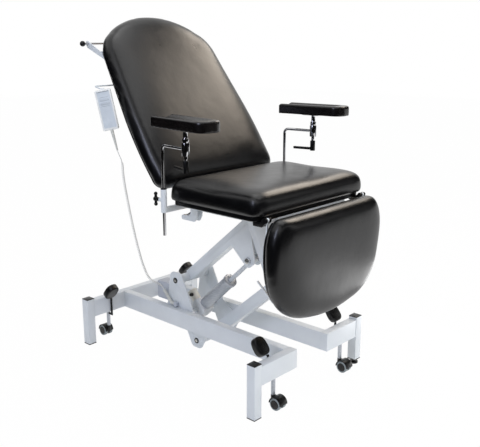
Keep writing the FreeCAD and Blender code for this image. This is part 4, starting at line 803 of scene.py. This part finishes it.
class CHAIR_OT_hardware(bpy.types.Operator):
    """Finishes the caps, levers, bushes, poles, gas spring and actuator"""
    bl_idname = "chair.hardware"
    bl_label = "Hardware and actuator"

    def execute(self, context):
        paint = settings("chair_paint")
        for node, (name, material) in MOULDED_NODES.items():
            eased(node, name, material(), paint.small_edge)
        eased("control_box", "control_box_moulded", moulded("abs_grey_blue", linear("#b9bfca")), paint.plate_edge)
        housing = moulded("housing_light_grey", linear("#e4e7ea"), 0.5)
        eased("actuator_gearbox", "gearbox_moulded", housing, paint.plate_edge)
        cream = moulded("motor_cap_cream", linear("#f3f1e8"), 0.5)
        eased("actuator_motor", "motor_cap", cream, paint.plate_edge)
        eased("actuator_tube", "actuator_tube_painted", satin_steel(), paint.plate_edge)
        silver = moulded("silver_paint_satin", linear("#d2d8de"), 0.34)
        eased("actuator_rod", "actuator_rod_ground", silver, paint.small_edge)
        motor_gland()
        for node, underside in UNDERSIDES.items():
            board(node, Vector(underside))
        roll_rod()
        for side in ("left", "right"):
            socket_knob(side)
        return {"FINISHED"}


# The gland's pieces: radius and depth of each, and its place from the cap's low edge
GLAND_COLLAR = (0.0085, 0.008)
GLAND_NUT = (0.0068, 0.008)
GLAND_NUT_SET = 0.006
GLAND_PLACE = (-0.002, -0.008, -0.022)
BOARD_EDGE = 0.0028
STAPLED_EDGE = ((0.024, -0.0008),)
BACK_TILT = math.radians(55)
UNDERSIDES = {
    "seat_board": (0, 0, -1),
    "back_board": (0, math.sin(BACK_TILT), -math.cos(BACK_TILT)),
    "leg_rest_board": (0, 1, 0),
}


def hull(points):
    """The corners of the points' convex hull, in order."""
    chains = []
    for row in (sorted(points), sorted(points, reverse=True)):
        chain = []
        for point in row:
            while len(chain) > 1 and turning(chain[-2], chain[-1], point) <= 0:
                chain.pop()
            chain.append(point)
        chains.extend(chain[:-1])
    return [Vector(point) for point in chains]


def turning(first, middle, last):
    """More than 0 where the way from first over middle to last turns left."""
    return (middle[0] - first[0]) * (last[1] - first[1]) - (middle[1] - first[1]) * (last[0] - first[0])


def hull_radius(corners, angle):
    """How far a ray from the origin runs before it leaves the hull, at an angle."""
    ray = Vector((math.cos(angle), math.sin(angle)))
    side = Vector((-ray.y, ray.x))
    reached = 0.0
    for first, last in zip(corners, corners[1:] + corners[:1]):
        before, after = first.dot(side), last.dot(side)
        if before * after <= 0 and before != after:
            reached = max(reached, first.lerp(last, before / (before - after)).dot(ray))
    return reached


# The directions are in degrees, seen from a point on the back's middle line that lies below the shoulders.
SHOULDER_STEP = 3
SHOULDER_FADE = 12
SHOULDER_DROP = 0.18
SHOULDER_LEAN = Vector((0.77, 0.64))


def shoulder_table():
    """The share by which the back's outline is drawn in, for each few degrees round its upper half."""
    upward = Vector((0, math.cos(BACK_TILT), math.sin(BACK_TILT)))
    outline = [(vertex.co.x, vertex.co.dot(upward)) for vertex in frame["nodes"]["back_cushion"].data.vertices]
    shoulder = max(outline, key=lambda place: SHOULDER_LEAN.dot(Vector(place)))[1]
    origin = shoulder - SHOULDER_DROP
    points = hull([(x, level - origin) for x, level in outline])
    angles = range(-60, 241, SHOULDER_STEP)
    radii = {angle: hull_radius(points, math.radians(angle)) for angle in angles}
    spread = settings("chair_upholstery").shoulder
    table = {}
    for angle in angles:
        weights = {other: math.exp(-((other - angle) / spread) ** 2 / 2) for other in angles}
        even = sum(weights[other] * radii[other] for other in angles) / sum(weights.values())
        fade = max(0.0, min(1.0, angle / SHOULDER_FADE, (180 - angle) / SHOULDER_FADE))
        table[angle] = 1 + fade * (min(1.003, even / radii[angle]) - 1)
    return origin, table


def eased_shoulders(piece):
    """Draws the back's two shoulders in, so that its top runs round in one sweep."""
    upward = Vector((0, math.cos(BACK_TILT), math.sin(BACK_TILT)))
    origin, table = shoulder_table()
    for vertex in piece.data.vertices:
        level = vertex.co.dot(upward) - origin
        angle = math.degrees(math.atan2(level, vertex.co.x))
        if 0 < angle < 180:
            before = int(angle // SHOULDER_STEP) * SHOULDER_STEP
            share = (angle - before) / SHOULDER_STEP
            factor = table[before] * (1 - share) + table[before + SHOULDER_STEP] * share
            vertex.co.x *= factor
            vertex.co += upward * level * (factor - 1)


def board(node, underside):
    """A cushion's plywood board: the cover is pulled round its edge and stapled to its underside."""
    piece = copied(node, node + "_covered")
    if node == "back_board":
        eased_shoulders(piece)
    bevelled(piece, BOARD_EDGE, segments=3)
    painted(piece, vinyl(), plywood())
    moved_in(piece, lambda face: face.normal.dot(underside) > 0.999 and face.area > 0.01, STAPLED_EDGE)
    for face in piece.data.polygons:
        face.material_index = 1 if face.select else 0
    mounted(smooth(piece, 30), node)


def motor_gland():
    """The black gland and nut where the lead comes out of the motor's cap."""
    low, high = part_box("actuator_motor")
    place = Vector((low.x, (low.y + high.y) / 2, high.z)) + Vector(GLAND_PLACE)
    collar = disc("collar", place, *GLAND_COLLAR, ACROSS, vertices=24)
    nut = disc("nut", place - ACROSS * GLAND_NUT_SET, *GLAND_NUT, ACROSS, vertices=6)
    gland = joined("motor_gland", [bevelled(collar, 0.001), bevelled(nut, 0.0008)])
    mounted(painted(smooth(gland), black_plastic()), body=BODY_OF["actuator_motor"], slot="black_plastic")


# The sleeve's radius as a share of its bore's, at the wire and what it gains towards the handset
SLEEVE_SHARE = 0.62
SLEEVE_GAIN_SHARE = 0.22


def strain_relief():
    """The soft tapered sleeve under the handset, slimmer towards the wire than its bore needs."""
    piece = copied("strain_relief", "strain_relief_moulded")
    end = Vector(RELIEF_EXIT)
    top = max((vertex.co for vertex in piece.data.vertices), key=lambda place: place.z)
    top = Vector((end.x, middle_at(piece, top.z).y, top.z))
    axis = top - end
    for vertex in piece.data.vertices:
        along = (vertex.co - end).dot(axis) / axis.length_squared
        centre = end + axis * along
        share = SLEEVE_SHARE + SLEEVE_GAIN_SHARE * max(0.0, min(1.0, along))
        vertex.co = centre + (vertex.co - centre) * share
    return mounted(painted(smooth(piece, 40), plug_plastic()), "strain_relief")


def middle_at(piece, level):
    """The middle of a piece's points near a height."""
    near = [vertex.co for vertex in piece.data.vertices if abs(vertex.co.z - level) < 0.004]
    return sum(near, Vector()) / len(near)


ROLL_KNOB = 0.0245


def roll_rod():
    """The paper roll's chromed rod with black end knobs."""
    piece = copied("paper_roll_rod", "roll_rod_chromed")
    knob_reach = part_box("paper_roll_rod")[1].x - ROLL_KNOB
    painted(piece, chrome(), black_plastic())
    for face in piece.data.polygons:
        face.material_index = 1 if abs(face.center.x) > knob_reach else 0
    mounted(smooth(piece, 40), "paper_roll_rod")


# The T-knob's turned pieces: radius and length of each, and how far the bar and the neck are set in
KNOB_HUB = (0.0095, 0.016)
KNOB_NECK = (0.0075, 0.016)
KNOB_STEM = (0.0039, 0.024)
KNOB_BAR = (0.0056, 0.042)
KNOB_BALL = 0.0074
KNOB_BAR_SET = 0.0085
KNOB_NECK_SET = 0.014


def socket_knob(side):
    """A T-shaped clamping knob: a bar with ball ends on a round neck and a threaded stem."""
    node = "socket_knob_" + side
    low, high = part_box(node)
    x, _, z = (low + high) / 2
    bar_y = high.y - KNOB_BAR_SET
    out = (0, 1, 0)
    pieces = [
        bevelled(disc("hub", (x, bar_y, z), *KNOB_HUB, out), 0.004, segments=4),
        bevelled(disc("neck", (x, bar_y - KNOB_NECK_SET, z), *KNOB_NECK, out), 0.003, segments=3),
        disc("stem", (x, low.y + KNOB_STEM[1] / 2, z), *KNOB_STEM, out),
        disc("bar", (x, bar_y, z), *KNOB_BAR, (0, 0, 1), vertices=24),
    ]
    for end in (-0.5, 0.5):
        bpy.ops.object.select_all(action="DESELECT")
        bpy.ops.mesh.primitive_uv_sphere_add(segments=24, ring_count=14, radius=KNOB_BALL,
                                             location=(x, bar_y, z + end * KNOB_BAR[1]))
        pieces.append(applied_place(bpy.context.object))
    knob = joined(f"socket_knob_{side}_moulded", pieces)
    mounted(painted(smooth(knob, 40), black_plastic()), node)


# Upholstery

PINNED_HEIGHT = 0.009
COVER_STIFFNESS = 12
CLOTH_FRAMES = 20
CROWN_START = 0.006
CROWN_RUN = 0.03
WELT_HEIGHT = 0.0035


def settled(piece, floor, normal):
    """Swells the cover by cloth pressure, with its underside pinned and its travel capped."""
    upholstery = settings("chair_upholstery")
    rest = [vertex.co.copy() for vertex in piece.data.vertices]
    pinned = [index for index, place in enumerate(rest) if (place - floor).dot(normal) < PINNED_HEIGHT]
    group = piece.vertex_groups.new(name="underside")
    group.add(pinned, 1.0, "REPLACE")
    only(piece)
    modifier = piece.modifiers.new("cover", "CLOTH")
    cover = modifier.settings
    cover.vertex_group_mass = "underside"
    cover.use_pressure = True
    cover.uniform_pressure_force = upholstery.pressure
    cover.effector_weights.gravity = 0
    cover.bending_stiffness = COVER_STIFFNESS
    cover.quality = 5
    modifier.point_cache.frame_start = 1
    modifier.point_cache.frame_end = CLOTH_FRAMES
    for number in range(1, CLOTH_FRAMES + 1):
        bpy.context.scene.frame_set(number)
    graph = bpy.context.evaluated_depsgraph_get()
    swollen = [vertex.co.copy() for vertex in piece.evaluated_get(graph).data.vertices]
    piece.modifiers.remove(modifier)
    piece.vertex_groups.remove(group)
    bpy.context.scene.frame_set(1)
    travels = [after - before for before, after in zip(rest, swollen)]
    for travel in travels:
        if travel.length > upholstery.swell:
            travel.length = upholstery.swell
    for vertex, travel in zip(piece.data.vertices, evened(piece, travels, set(pinned))):
        vertex.co += travel
    return piece


def evened(piece, travels, pinned):
    """The cover's travels, averaged with their neighbours' until no pull or crease is left."""
    edges = [tuple(edge.vertices) for edge in piece.data.edges]
    counts = [1] * len(travels)
    for first, last in edges:
        counts[first] += 1
        counts[last] += 1
    for _ in range(settings("chair_upholstery").evening):
        sums = [travel.copy() for travel in travels]
        for first, last in edges:
            sums[first] += travels[last]
            sums[last] += travels[first]
        travels = [Vector() if index in pinned else total / counts[index] for index, total in enumerate(sums)]
    return travels


def crown_weights(piece, floor, normal):
    """A vertex group that is 0 at the board and 1 on the cushion's face."""
    group = piece.vertex_groups.new(name="crown")
    for vertex in piece.data.vertices:
        height = (vertex.co - floor).dot(normal)
        group.add([vertex.index], max(0.0, min(1.0, (height - CROWN_START) / CROWN_RUN)), "REPLACE")


def fitted(piece, node, normal):
    """Brings the softened cushion back to the node's width, length and height."""
    for axis in (ACROSS, normal.cross(ACROSS), normal):
        levels = [vertex.co.dot(axis) for vertex in piece.data.vertices]
        targets = [vertex.co.dot(axis) for vertex in frame["nodes"][node].data.vertices]
        low, start = min(levels), min(targets)
        scale = (max(targets) - start) / (max(levels) - low)
        for vertex, level in zip(piece.data.vertices, levels):
            vertex.co += axis * (start + (level - low) * scale - level)


def drawn_under(piece, node, floor, normal):
    """Curves the foot of a cushion's sides in, to where the cover goes round the board's edge."""
    upholstery = settings("chair_upholstery")
    middles = []
    for axis in (ACROSS, normal.cross(ACROSS)):
        levels = [vertex.co.dot(axis) for vertex in frame["nodes"][node].data.vertices]
        middles.append((axis, (min(levels) + max(levels)) / 2, (max(levels) - min(levels)) / 2))
    for vertex in piece.data.vertices:
        height = (vertex.co - floor).dot(normal)
        bend = max(0.0, 1 - height / upholstery.foot) ** 2 * upholstery.under
        for axis, middle, half in middles:
            vertex.co -= axis * (vertex.co.dot(axis) - middle) * bend / half


def cushion(node, name, floor, normal, softness):
    """A foam cushion in vinyl, swollen over its board from the node's cut shape."""
    upholstery = settings("chair_upholstery")
    piece = copied(node, name)
    edit(piece)
    bpy.ops.mesh.select_all(action="SELECT")
    bpy.ops.transform.shrink_fatten(value=-upholstery.draw_in)
    done()
    apply_modifier(piece, "REMESH", mode="VOXEL", voxel_size=upholstery.voxel)
    if node == "back_cushion":
        eased_shoulders(piece)
    drawn_under(piece, node, floor, normal)
    crown_weights(piece, floor, normal)
    apply_modifier(piece, "SMOOTH", factor=0.5, iterations=softness, vertex_group="crown")
    settled(piece, floor, normal)
    apply_modifier(piece, "SMOOTH", factor=0.5, iterations=upholstery.calm, vertex_group="crown")
    apply_modifier(piece, "SMOOTH", factor=0.5, iterations=2)
    fitted(piece, node, normal)
    apply_modifier(piece, "SUBSURF", levels=1, render_levels=1)
    piece.vertex_groups.clear()
    only(piece)
    bpy.ops.object.shade_smooth()
    mounted(painted(piece, vinyl()), node)
    return piece


def welt(node, name, floor, normal, body):
    """The rolled edge that runs round a cushion where its cover turns under to the board."""
    upholstery = settings("chair_upholstery")
    piece = copied(node, name)
    if node == "back_cushion":
        eased_shoulders(piece)
    drawn_under(piece, node, floor, normal)
    place = floor + normal * WELT_HEIGHT
    edit(piece)
    bpy.ops.mesh.select_all(action="SELECT")
    bpy.ops.mesh.bisect(plane_co=place, plane_no=normal, clear_inner=True, clear_outer=True)
    done()
    only(piece)
    bpy.ops.object.convert(target="CURVE")
    piece = bpy.context.object
    piece.data.bevel_depth = upholstery.welt
    piece.data.bevel_resolution = 3
    piece = rounded_mesh(piece)
    piece.name = name
    mounted(painted(piece, vinyl()), body=body, slot="black_vinyl")


def arm_pad(side):
    """A moulded armrest pad with its trough, its edges softened by the foam."""
    node = "armrest_pad_" + side
    piece = copied(node, f"arm_pad_{side}_moulded")
    apply_modifier(piece, "REMESH", mode="VOXEL", voxel_size=0.0032)
    apply_modifier(piece, "SMOOTH", factor=0.5, iterations=9)
    apply_modifier(piece, "SUBSURF", levels=1, render_levels=1)
    only(piece)
    bpy.ops.object.shade_smooth()
    mounted(painted(piece, arm_vinyl()), node)


class CHAIR_OT_upholstery(bpy.types.Operator):
    """Makes the three cushions and the two armrest pads"""
    bl_idname = "chair.upholstery"
    bl_label = "Upholstery"

    def execute(self, context):
        seat_low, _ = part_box("seat_cushion")
        _, leg_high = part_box("leg_rest_cushion")
        up = Vector((0, 0, 1))
        forward = Vector((0, -1, 0))
        out = Vector((0, -math.sin(BACK_TILT), math.cos(BACK_TILT)))
        board = frame["nodes"]["back_cushion"].data.vertices
        back_floor = min((vertex.co for vertex in board), key=lambda place: place.dot(out)).copy()
        cushions = (
            ("seat_cushion", "seat_cushion_upholstered", seat_low, up, 60, "seat"),
            ("back_cushion", "back_cushion_upholstered", back_floor, out, 36, "back"),
            ("leg_rest_cushion", "leg_cushion_upholstered", leg_high, forward, 36, "leg_rest"),
        )
        for node, name, floor, normal, softness, body in cushions:
            cushion(node, name, floor, normal, softness)
            welt(node, name + "_edge", floor, normal, body)
        for side in ("left", "right"):
            arm_pad(side)
        return {"FINISHED"}


# Handset

def handset_axes():
    """The handset's centre and its axes: across, outwards from the keys' face, and up along the keys."""
    up = (node_centre("key_up") - node_centre("key_down")).normalized()
    case = frame["nodes"]["handset_case"].data
    facing = max((face for face in case.polygons if abs(face.normal.dot(up)) < 0.05 and face.normal.y < 0),
                 key=lambda face: face.area).normal.copy()
    across = up.cross(facing).normalized()
    return node_centre("handset_case"), across, facing, up


def reach(piece, axis, origin):
    spans = [(vertex.co - origin).dot(axis) for vertex in piece.data.vertices]
    return min(spans), max(spans)


# The panel's rim at the handset's top and bottom, in rims, and the printed lines' distance from the keys
TOP_RIMS = 1.9
BOTTOM_RIMS = 1.6
KEY_LINE_GAP = 0.0105


class CHAIR_OT_handset(bpy.types.Operator):
    """Makes the handset's shell, its key panel and its keys"""
    bl_idname = "chair.handset"
    bl_label = "Handset"

    def execute(self, context):
        handset = settings("chair_handset")
        origin, across, facing, up = handset_axes()
        piece = copied("handset_case", "handset_shell")
        left, right = reach(piece, across, origin)
        back, front = reach(piece, facing, origin)
        bottom, top = reach(piece, up, origin)
        rim = handset.border
        sides = (
            (across, left + rim), (across, right - rim), (up, bottom + BOTTOM_RIMS * rim), (up, top - TOP_RIMS * rim))
        for axis, level in (*sides, (facing, (back + front) / 2 + 0.002)):
            edit(piece)
            bpy.ops.mesh.select_all(action="SELECT")
            bpy.ops.mesh.bisect(plane_co=origin + axis * level, plane_no=axis)
            done()

        def on_panel(face):
            spot = face.center - origin
            return (face.normal.dot(facing) > 0.9 and spot.dot(facing) > front - 0.003
                    and sides[0][1] < spot.dot(across) < sides[1][1] and sides[2][1] < spot.dot(up) < sides[3][1])

        pick_faces(piece, on_panel)
        bpy.ops.mesh.extrude_region_shrink_fatten(TRANSFORM_OT_shrink_fatten={"value": -0.0008})
        done()
        painted(piece, moulded("abs_off_white", tuple(handset.shell), 0.42),
                moulded("key_panel_blue_grey", tuple(handset.panel), 0.38),
                moulded("abs_shadow_grey", linear("#8d9296")))
        # Faces behind the seam get the darker grey: painted shade for the handset's shadowed back and sides.
        for face in piece.data.polygons:
            behind = (face.center - origin).dot(facing) < (back + front) / 2 + 0.002
            face.material_index = 1 if face.select else 2 if behind else 0
        mounted(smooth(bevelled(piece, 0.0003), 35), "handset_case")
        for key in ("key_up", "key_down"):
            eased(key, key + "_moulded", moulded("key_pale_grey", tuple(handset.keys), 0.4), 0.0004)
        turn = Matrix((across, facing, up)).transposed().to_4x4()
        key_top, key_bottom = ((node_centre(key) - origin).dot(up) for key in ("key_up", "key_down"))
        marks = (
            (top - TOP_RIMS * rim - 0.002, 0.92, 0.0016),
            (key_top + KEY_LINE_GAP, 0.7, 0.0007),
            (key_bottom - KEY_LINE_GAP, 0.7, 0.0007),
        )
        lines = []
        for height, width, depth in marks:
            spot = origin + up * height + facing * (front - 0.0008) + across * (left + right) / 2
            bpy.ops.object.select_all(action="DESELECT")
            bpy.ops.mesh.primitive_cube_add(size=1, location=(0, 0, 0))
            line = bpy.context.object
            line.data.transform(Matrix.Translation(spot) @ turn @
                                Matrix.Diagonal(((right - left - 2 * rim) * width, 0.0008, depth, 1)))
            lines.append(bevelled(line, 0.0002))
        mounted(painted(joined("handset_panel_lines", lines), moulded("line_dark_grey", linear("#6d757a"), 0.5)),
                body=BODY_OF["handset_case"], slot="handset_plastic")
        return {"FINISHED"}


# Castors

def castor_axes():
    """(number, x, y) of each castor's stem."""
    places = []
    for number in (1, 2, 3, 4):
        wheel = node_centre(f"castor_wheels_{number}")
        side = 1 if wheel.y > SETBACK else -1
        places.append((number, wheel.x, wheel.y - side * 0.025))
    return places


WHEEL_RADIUS = 0.025
WHEEL_WIDTH = 0.015
WHEEL_INSIDE = 0.0065
WHEEL_EDGE = 0.0028
HUB_STEPS = ((0.004, 0.001), (0.0075, -0.0008))


def wheel_pair(name, centre):
    """Two lathe-shaped wheels on one axle: a grey tyre round a dished black hub."""
    hardware = settings("chair_hardware")
    wheels = []
    for side in (-1, 1):
        x = centre.x + side * (WHEEL_INSIDE + WHEEL_WIDTH / 2)
        wheel = disc("wheel", (x, centre.y, centre.z), WHEEL_RADIUS, WHEEL_WIDTH, (1, 0, 0), vertices=56)
        bevelled(wheel, WHEEL_EDGE, segments=3, angle=60)
        stepped_cap(wheel, (side, 0, 0), ((hardware.tread_width - WHEEL_EDGE, -0.0012), *HUB_STEPS))
        wheels.append(wheel)
    pair = joined(name, wheels)
    painted(pair, tread_rubber(), black_plastic())
    hub_radius = WHEEL_RADIUS - hardware.tread_width + 0.0004
    for face in pair.data.polygons:
        out = math.hypot(face.center.y - centre.y, face.center.z - centre.z)
        face.material_index = 1 if out < hub_radius else 0
    return smooth(pair, 35)


PEDAL_LEAN = math.radians(38)
PEDAL_HALF = (0.0308, 0.0385)
PEDAL_DEPTH = 0.031
PEDAL_SQUARENESS = 2.7
PAD_HALF_DEPTH = 0.016
PAD_LIMITS = (0.0168, 0.0318, 0.0398)
STEM_REACH = 0.0092
STEM_TOP = 0.195
PEDAL_RIM = ((0.0014, -0.0012), (0.0018, 0.0014), (0.0055, 0.0012))
PEDAL_RING = ((0.0022, -0.0016), (0.0042, 0.0014))


def pedal_pad(number, centre, front):
    """A pedal's thick pad: a rounded egg-like form with a raised rim, a ring and a button on its face."""
    bpy.ops.object.select_all(action="DESELECT")
    bpy.ops.mesh.primitive_cylinder_add(vertices=64, radius=1, depth=PEDAL_DEPTH)
    pad = bpy.context.object
    pad.name = f"pedal_pad_{number}"
    for vertex in pad.data.vertices:
        angle = math.atan2(vertex.co.y, vertex.co.x)
        across, along = math.cos(angle), math.sin(angle)
        size = (abs(across) ** PEDAL_SQUARENESS + abs(along) ** PEDAL_SQUARENESS) ** (-1 / PEDAL_SQUARENESS)
        taper = 1 - 0.07 * along
        vertex.co.x, vertex.co.y = across * size * PEDAL_HALF[0] * taper, along * size * PEDAL_HALF[1]
    bevelled(pad, 0.0065, segments=5, angle=60)
    stepped_cap(pad, (0, 0, 1), PEDAL_RIM)
    bevelled(pad, 0.0004)
    ring = disc(f"ring_{number}", (0, 0.004, PEDAL_DEPTH / 2 + 0.0016), 0.0128, 0.0024, (0, 0, 1), vertices=48)
    stepped_cap(ring, (0, 0, 1), PEDAL_RING)
    bevelled(ring, 0.0004)
    pad = joined(pad.name, [pad, ring])
    turn = Matrix.Rotation(math.radians(90) - PEDAL_LEAN, 4, "X")
    if front > 0:
        turn = Matrix.Rotation(math.radians(180), 4, "Z") @ turn
    pad.data.transform(Matrix.Translation(centre) @ turn)
    return painted(smooth(pad, 35), black_plastic())


def pedal(number, x, y):
    """A castor's pedal: its pad, its black rod and its silver stem."""
    node = f"castor_pedal_{number}"
    front = -1 if y < SETBACK else 1
    facing = Vector((0, front * math.cos(PEDAL_LEAN), math.sin(PEDAL_LEAN)))
    piece = copied(node, f"pedal_{number}_stem")
    cap = max((face for face in piece.data.polygons if face.normal.dot(facing) > 0.98), key=lambda face: face.area)
    spots = [piece.data.vertices[index].co for index in cap.vertices]
    middle = sum(spots, Vector()) / len(spots) - facing * PAD_HALF_DEPTH
    pick_faces(piece, lambda face: in_pad(face.center - middle, facing))
    bpy.ops.mesh.delete(type="FACE")
    done()
    painted(piece, black_steel(), satin_steel())
    for face in piece.data.polygons:
        if math.hypot(face.center.x - x, face.center.y - y) < STEM_REACH and face.center.z < STEM_TOP:
            face.material_index = 1
    mounted(smooth(piece, 35), node)
    mounted(pedal_pad(number, middle, front), body=BODY_OF[node], slot="castor_steel")


def in_pad(spot, facing):
    """Whether a spot, measured from the pad's middle, belongs to the node's own pad."""
    upward = ACROSS.cross(facing)
    spans = (spot.dot(facing), spot.x, spot.dot(upward))
    return all(abs(span) < limit for span, limit in zip(spans, PAD_LIMITS))


class CHAIR_OT_castors(bpy.types.Operator):
    """Makes the castors' pedals, hoods and wheels"""
    bl_idname = "chair.castors"
    bl_label = "Castors"

    def execute(self, context):
        paint = settings("chair_paint")
        first = None
        for number, x, y in castor_axes():
            centre = node_centre(f"castor_wheels_{number}")
            name = f"wheels_{number}_moulded"
            if first is None:
                pair = wheel_pair(name, centre)
                first, first_centre = pair, centre
            else:
                pair = moved_copy(first, name, Matrix.Translation(centre - first_centre))
            mounted(pair, f"castor_wheels_{number}")
            eased(f"castor_fork_{number}", f"hood_{number}_moulded", black_plastic(), paint.small_edge)
            pedal(number, x, y)
        return {"FINISHED"}


# Stage

def soft_box(name, place, aim, size, power, hex_colour):
    """A rectangular studio light at a place, turned to a point."""
    lamp = bpy.data.objects.new(name, bpy.data.lights.new(name, "AREA"))
    bpy.context.scene.collection.objects.link(lamp)
    lamp.data.shape = "RECTANGLE"
    lamp.data.size, lamp.data.size_y = size
    lamp.data.energy = power
    lamp.data.color = linear(hex_colour)
    lamp.visible_camera = False
    lamp.location = place
    lamp.rotation_euler = (Vector(aim) - Vector(place)).to_track_quat("-Z", "Y").to_euler()
    return lamp


def seen_white(tree):
    """1 for camera, glossy and transmission rays, which see a white room, and 0 for the rest."""
    path = add_node(tree, "ShaderNodeLightPath")
    either = add_node(tree, "ShaderNodeMath", {"operation": "MAXIMUM"},
                      links={0: path.outputs["Is Camera Ray"], 1: path.outputs["Is Glossy Ray"]})
    every = add_node(tree, "ShaderNodeMath", {"operation": "MAXIMUM"},
                     links={0: either.outputs["Value"], 1: path.outputs["Is Transmission Ray"]})
    return every.outputs["Value"]


FLOOR_WHITE = 0.985
# The studio's lights: name, place, aim, size, the setting that holds its power, and colour.
LIGHTS = (
    ("key_light", (2.45, -0.15, 3.0), (0.0, 0.2, 1.1), (1.8, 0.85), "key_power", "#fff1e0"),
    ("strip_light", (-2.45, -0.45, 2.15), (-0.3, 0.25, 1.1), (0.34, 1.4), "strip_power", "#dfe5ff"),
    ("low_light", (0.95, -0.8, 0.05), (0.0, -0.5, 0.8), (0.9, 0.35), "low_power", "#ffffff"),
    ("top_light", (0.2, -0.4, 3.4), (0.0, 0.0, 0.5), (2.2, 2.2), "top_power", "#ffffff"),
    ("front_fill", (0.5, -3.4, 1.7), (0.0, -0.3, 0.4), (2.4, 1.6), "front_power", "#ffffff"),
)
# The studio's black cards: name, centre, turn in degrees and size. They darken reflections and cast no shadow.
DARK_CARDS = (
    ("card_left", (-3.6, 0.0, 1.6), (0, 90, 0), (3.6, 9.0)),
    ("card_behind_camera", (-0.5, -3.9, 1.6), (90, 0, 0), (6.2, 3.6)),
    ("card_right_low", (2.0, -3.2, 0.85), (90, 0, 0), (3.4, 1.3)),
    ("card_right", (4.6, -2.2, 2.6), (0, 90, 0), (3.6, 4.0)),
    ("card_above_front", (1.4, -2.0, 4.5), (0, 0, 0), (6.6, 4.8)),
    ("card_rear_left", (-1.7, 4.3, 1.6), (90, 0, 0), (4.0, 3.6)),
    ("card_floor_left", (-2.3, 0.0, 0.002), (0, 0, 0), (2.6, 8.4)),
)


def dark_card(name, centre, turn, size):
    """A black card that only mirrors and gloss can see."""
    bpy.ops.object.select_all(action="DESELECT")
    bpy.ops.mesh.primitive_plane_add(size=1, location=centre, rotation=[math.radians(angle) for angle in turn])
    card = bpy.context.object
    card.name = name
    card.scale = (*size, 1)
    applied_place(card)
    painted(card, finish_named("card_black_felt", linear("#040404"), 0.95)[0])
    card.visible_camera = False
    card.visible_shadow = False
    card.visible_diffuse = False


class CHAIR_OT_stage(bpy.types.Operator):
    """Adds the pale floor, the room's light and the studio lights"""
    bl_idname = "chair.stage"
    bl_label = "Stage"

    def execute(self, context):
        stage = settings("chair_stage")
        bpy.ops.object.select_all(action="DESELECT")
        bpy.ops.mesh.primitive_plane_add(size=30, location=(0, 0, -0.0004))
        floor = bpy.context.object
        floor.name = "floor"
        made, tree, shader = finish_named("floor_paper", linear("#f4f4f4"), 0.9)
        glow = add_node(tree, "ShaderNodeEmission", values={"Color": (1, 1, 1, 1), "Strength": 1.0})
        share = add_node(tree, "ShaderNodeMath", {"operation": "MULTIPLY"}, {1: FLOOR_WHITE}, {0: seen_white(tree)})
        mix = add_node(tree, "ShaderNodeMixShader", links={
            0: share.outputs["Value"], 1: shader.outputs["BSDF"], 2: glow.outputs["Emission"]})
        tree.links.new(mix.outputs["Shader"], tree.nodes["Material Output"].inputs["Surface"])
        painted(floor, made)
        world = bpy.data.worlds.new("studio")
        world.use_nodes = True
        tree = world.node_tree
        background = tree.nodes["Background"]
        level = add_node(tree, "ShaderNodeMapRange", values={"To Min": stage.ambient, "To Max": 1.0},
                         links={"Value": seen_white(tree)})
        tree.links.new(level.outputs["Result"], background.inputs["Strength"])
        background.inputs["Color"].default_value = (1, 1, 1, 1)
        context.scene.world = world
        for name, place, aim, size, power, colour in LIGHTS:
            lamp = soft_box(name, place, aim, size, getattr(stage, power), colour)
            lamp.visible_glossy = name != "front_fill"
        for name, centre, turn, size in DARK_CARDS:
            dark_card(name, centre, turn, size)
        context.scene.view_settings.view_transform = "Standard"
        return {"FINISHED"}


STEPS = ("camera", "cord", "frame", "hardware", "upholstery", "handset", "castors", "stage")


class CHAIR_PT_panel(bpy.types.Panel):
    bl_idname = "CHAIR_PT_panel"
    bl_label = "Phlebotomy chair"
    bl_space_type = "VIEW_3D"
    bl_region_type = "UI"
    bl_category = "Chair"

    def draw(self, context):
        for group, kind in GROUPS.items():
            box = self.layout.box()
            for name in kind.__annotations__:
                box.prop(getattr(context.scene, group), name)
        for step in STEPS:
            self.layout.operator("chair." + step)


CLASSES = (
    *GROUPS.values(), CHAIR_OT_camera, CHAIR_OT_cord, CHAIR_OT_frame, CHAIR_OT_hardware, CHAIR_OT_upholstery,
    CHAIR_OT_handset, CHAIR_OT_castors, CHAIR_OT_stage, CHAIR_PT_panel,
)


def register():
    for kind in CLASSES:
        bpy.utils.register_class(kind)
    for group, kind in GROUPS.items():
        setattr(bpy.types.Scene, group, bpy.props.PointerProperty(type=kind))


def unregister():
    for group in GROUPS:
        delattr(bpy.types.Scene, group)
    for kind in reversed(CLASSES):
        bpy.utils.unregister_class(kind)


def main():
    register()
    for step in STEPS:
        getattr(bpy.ops.chair, step)()


if __name__ == "__main__":
    main()
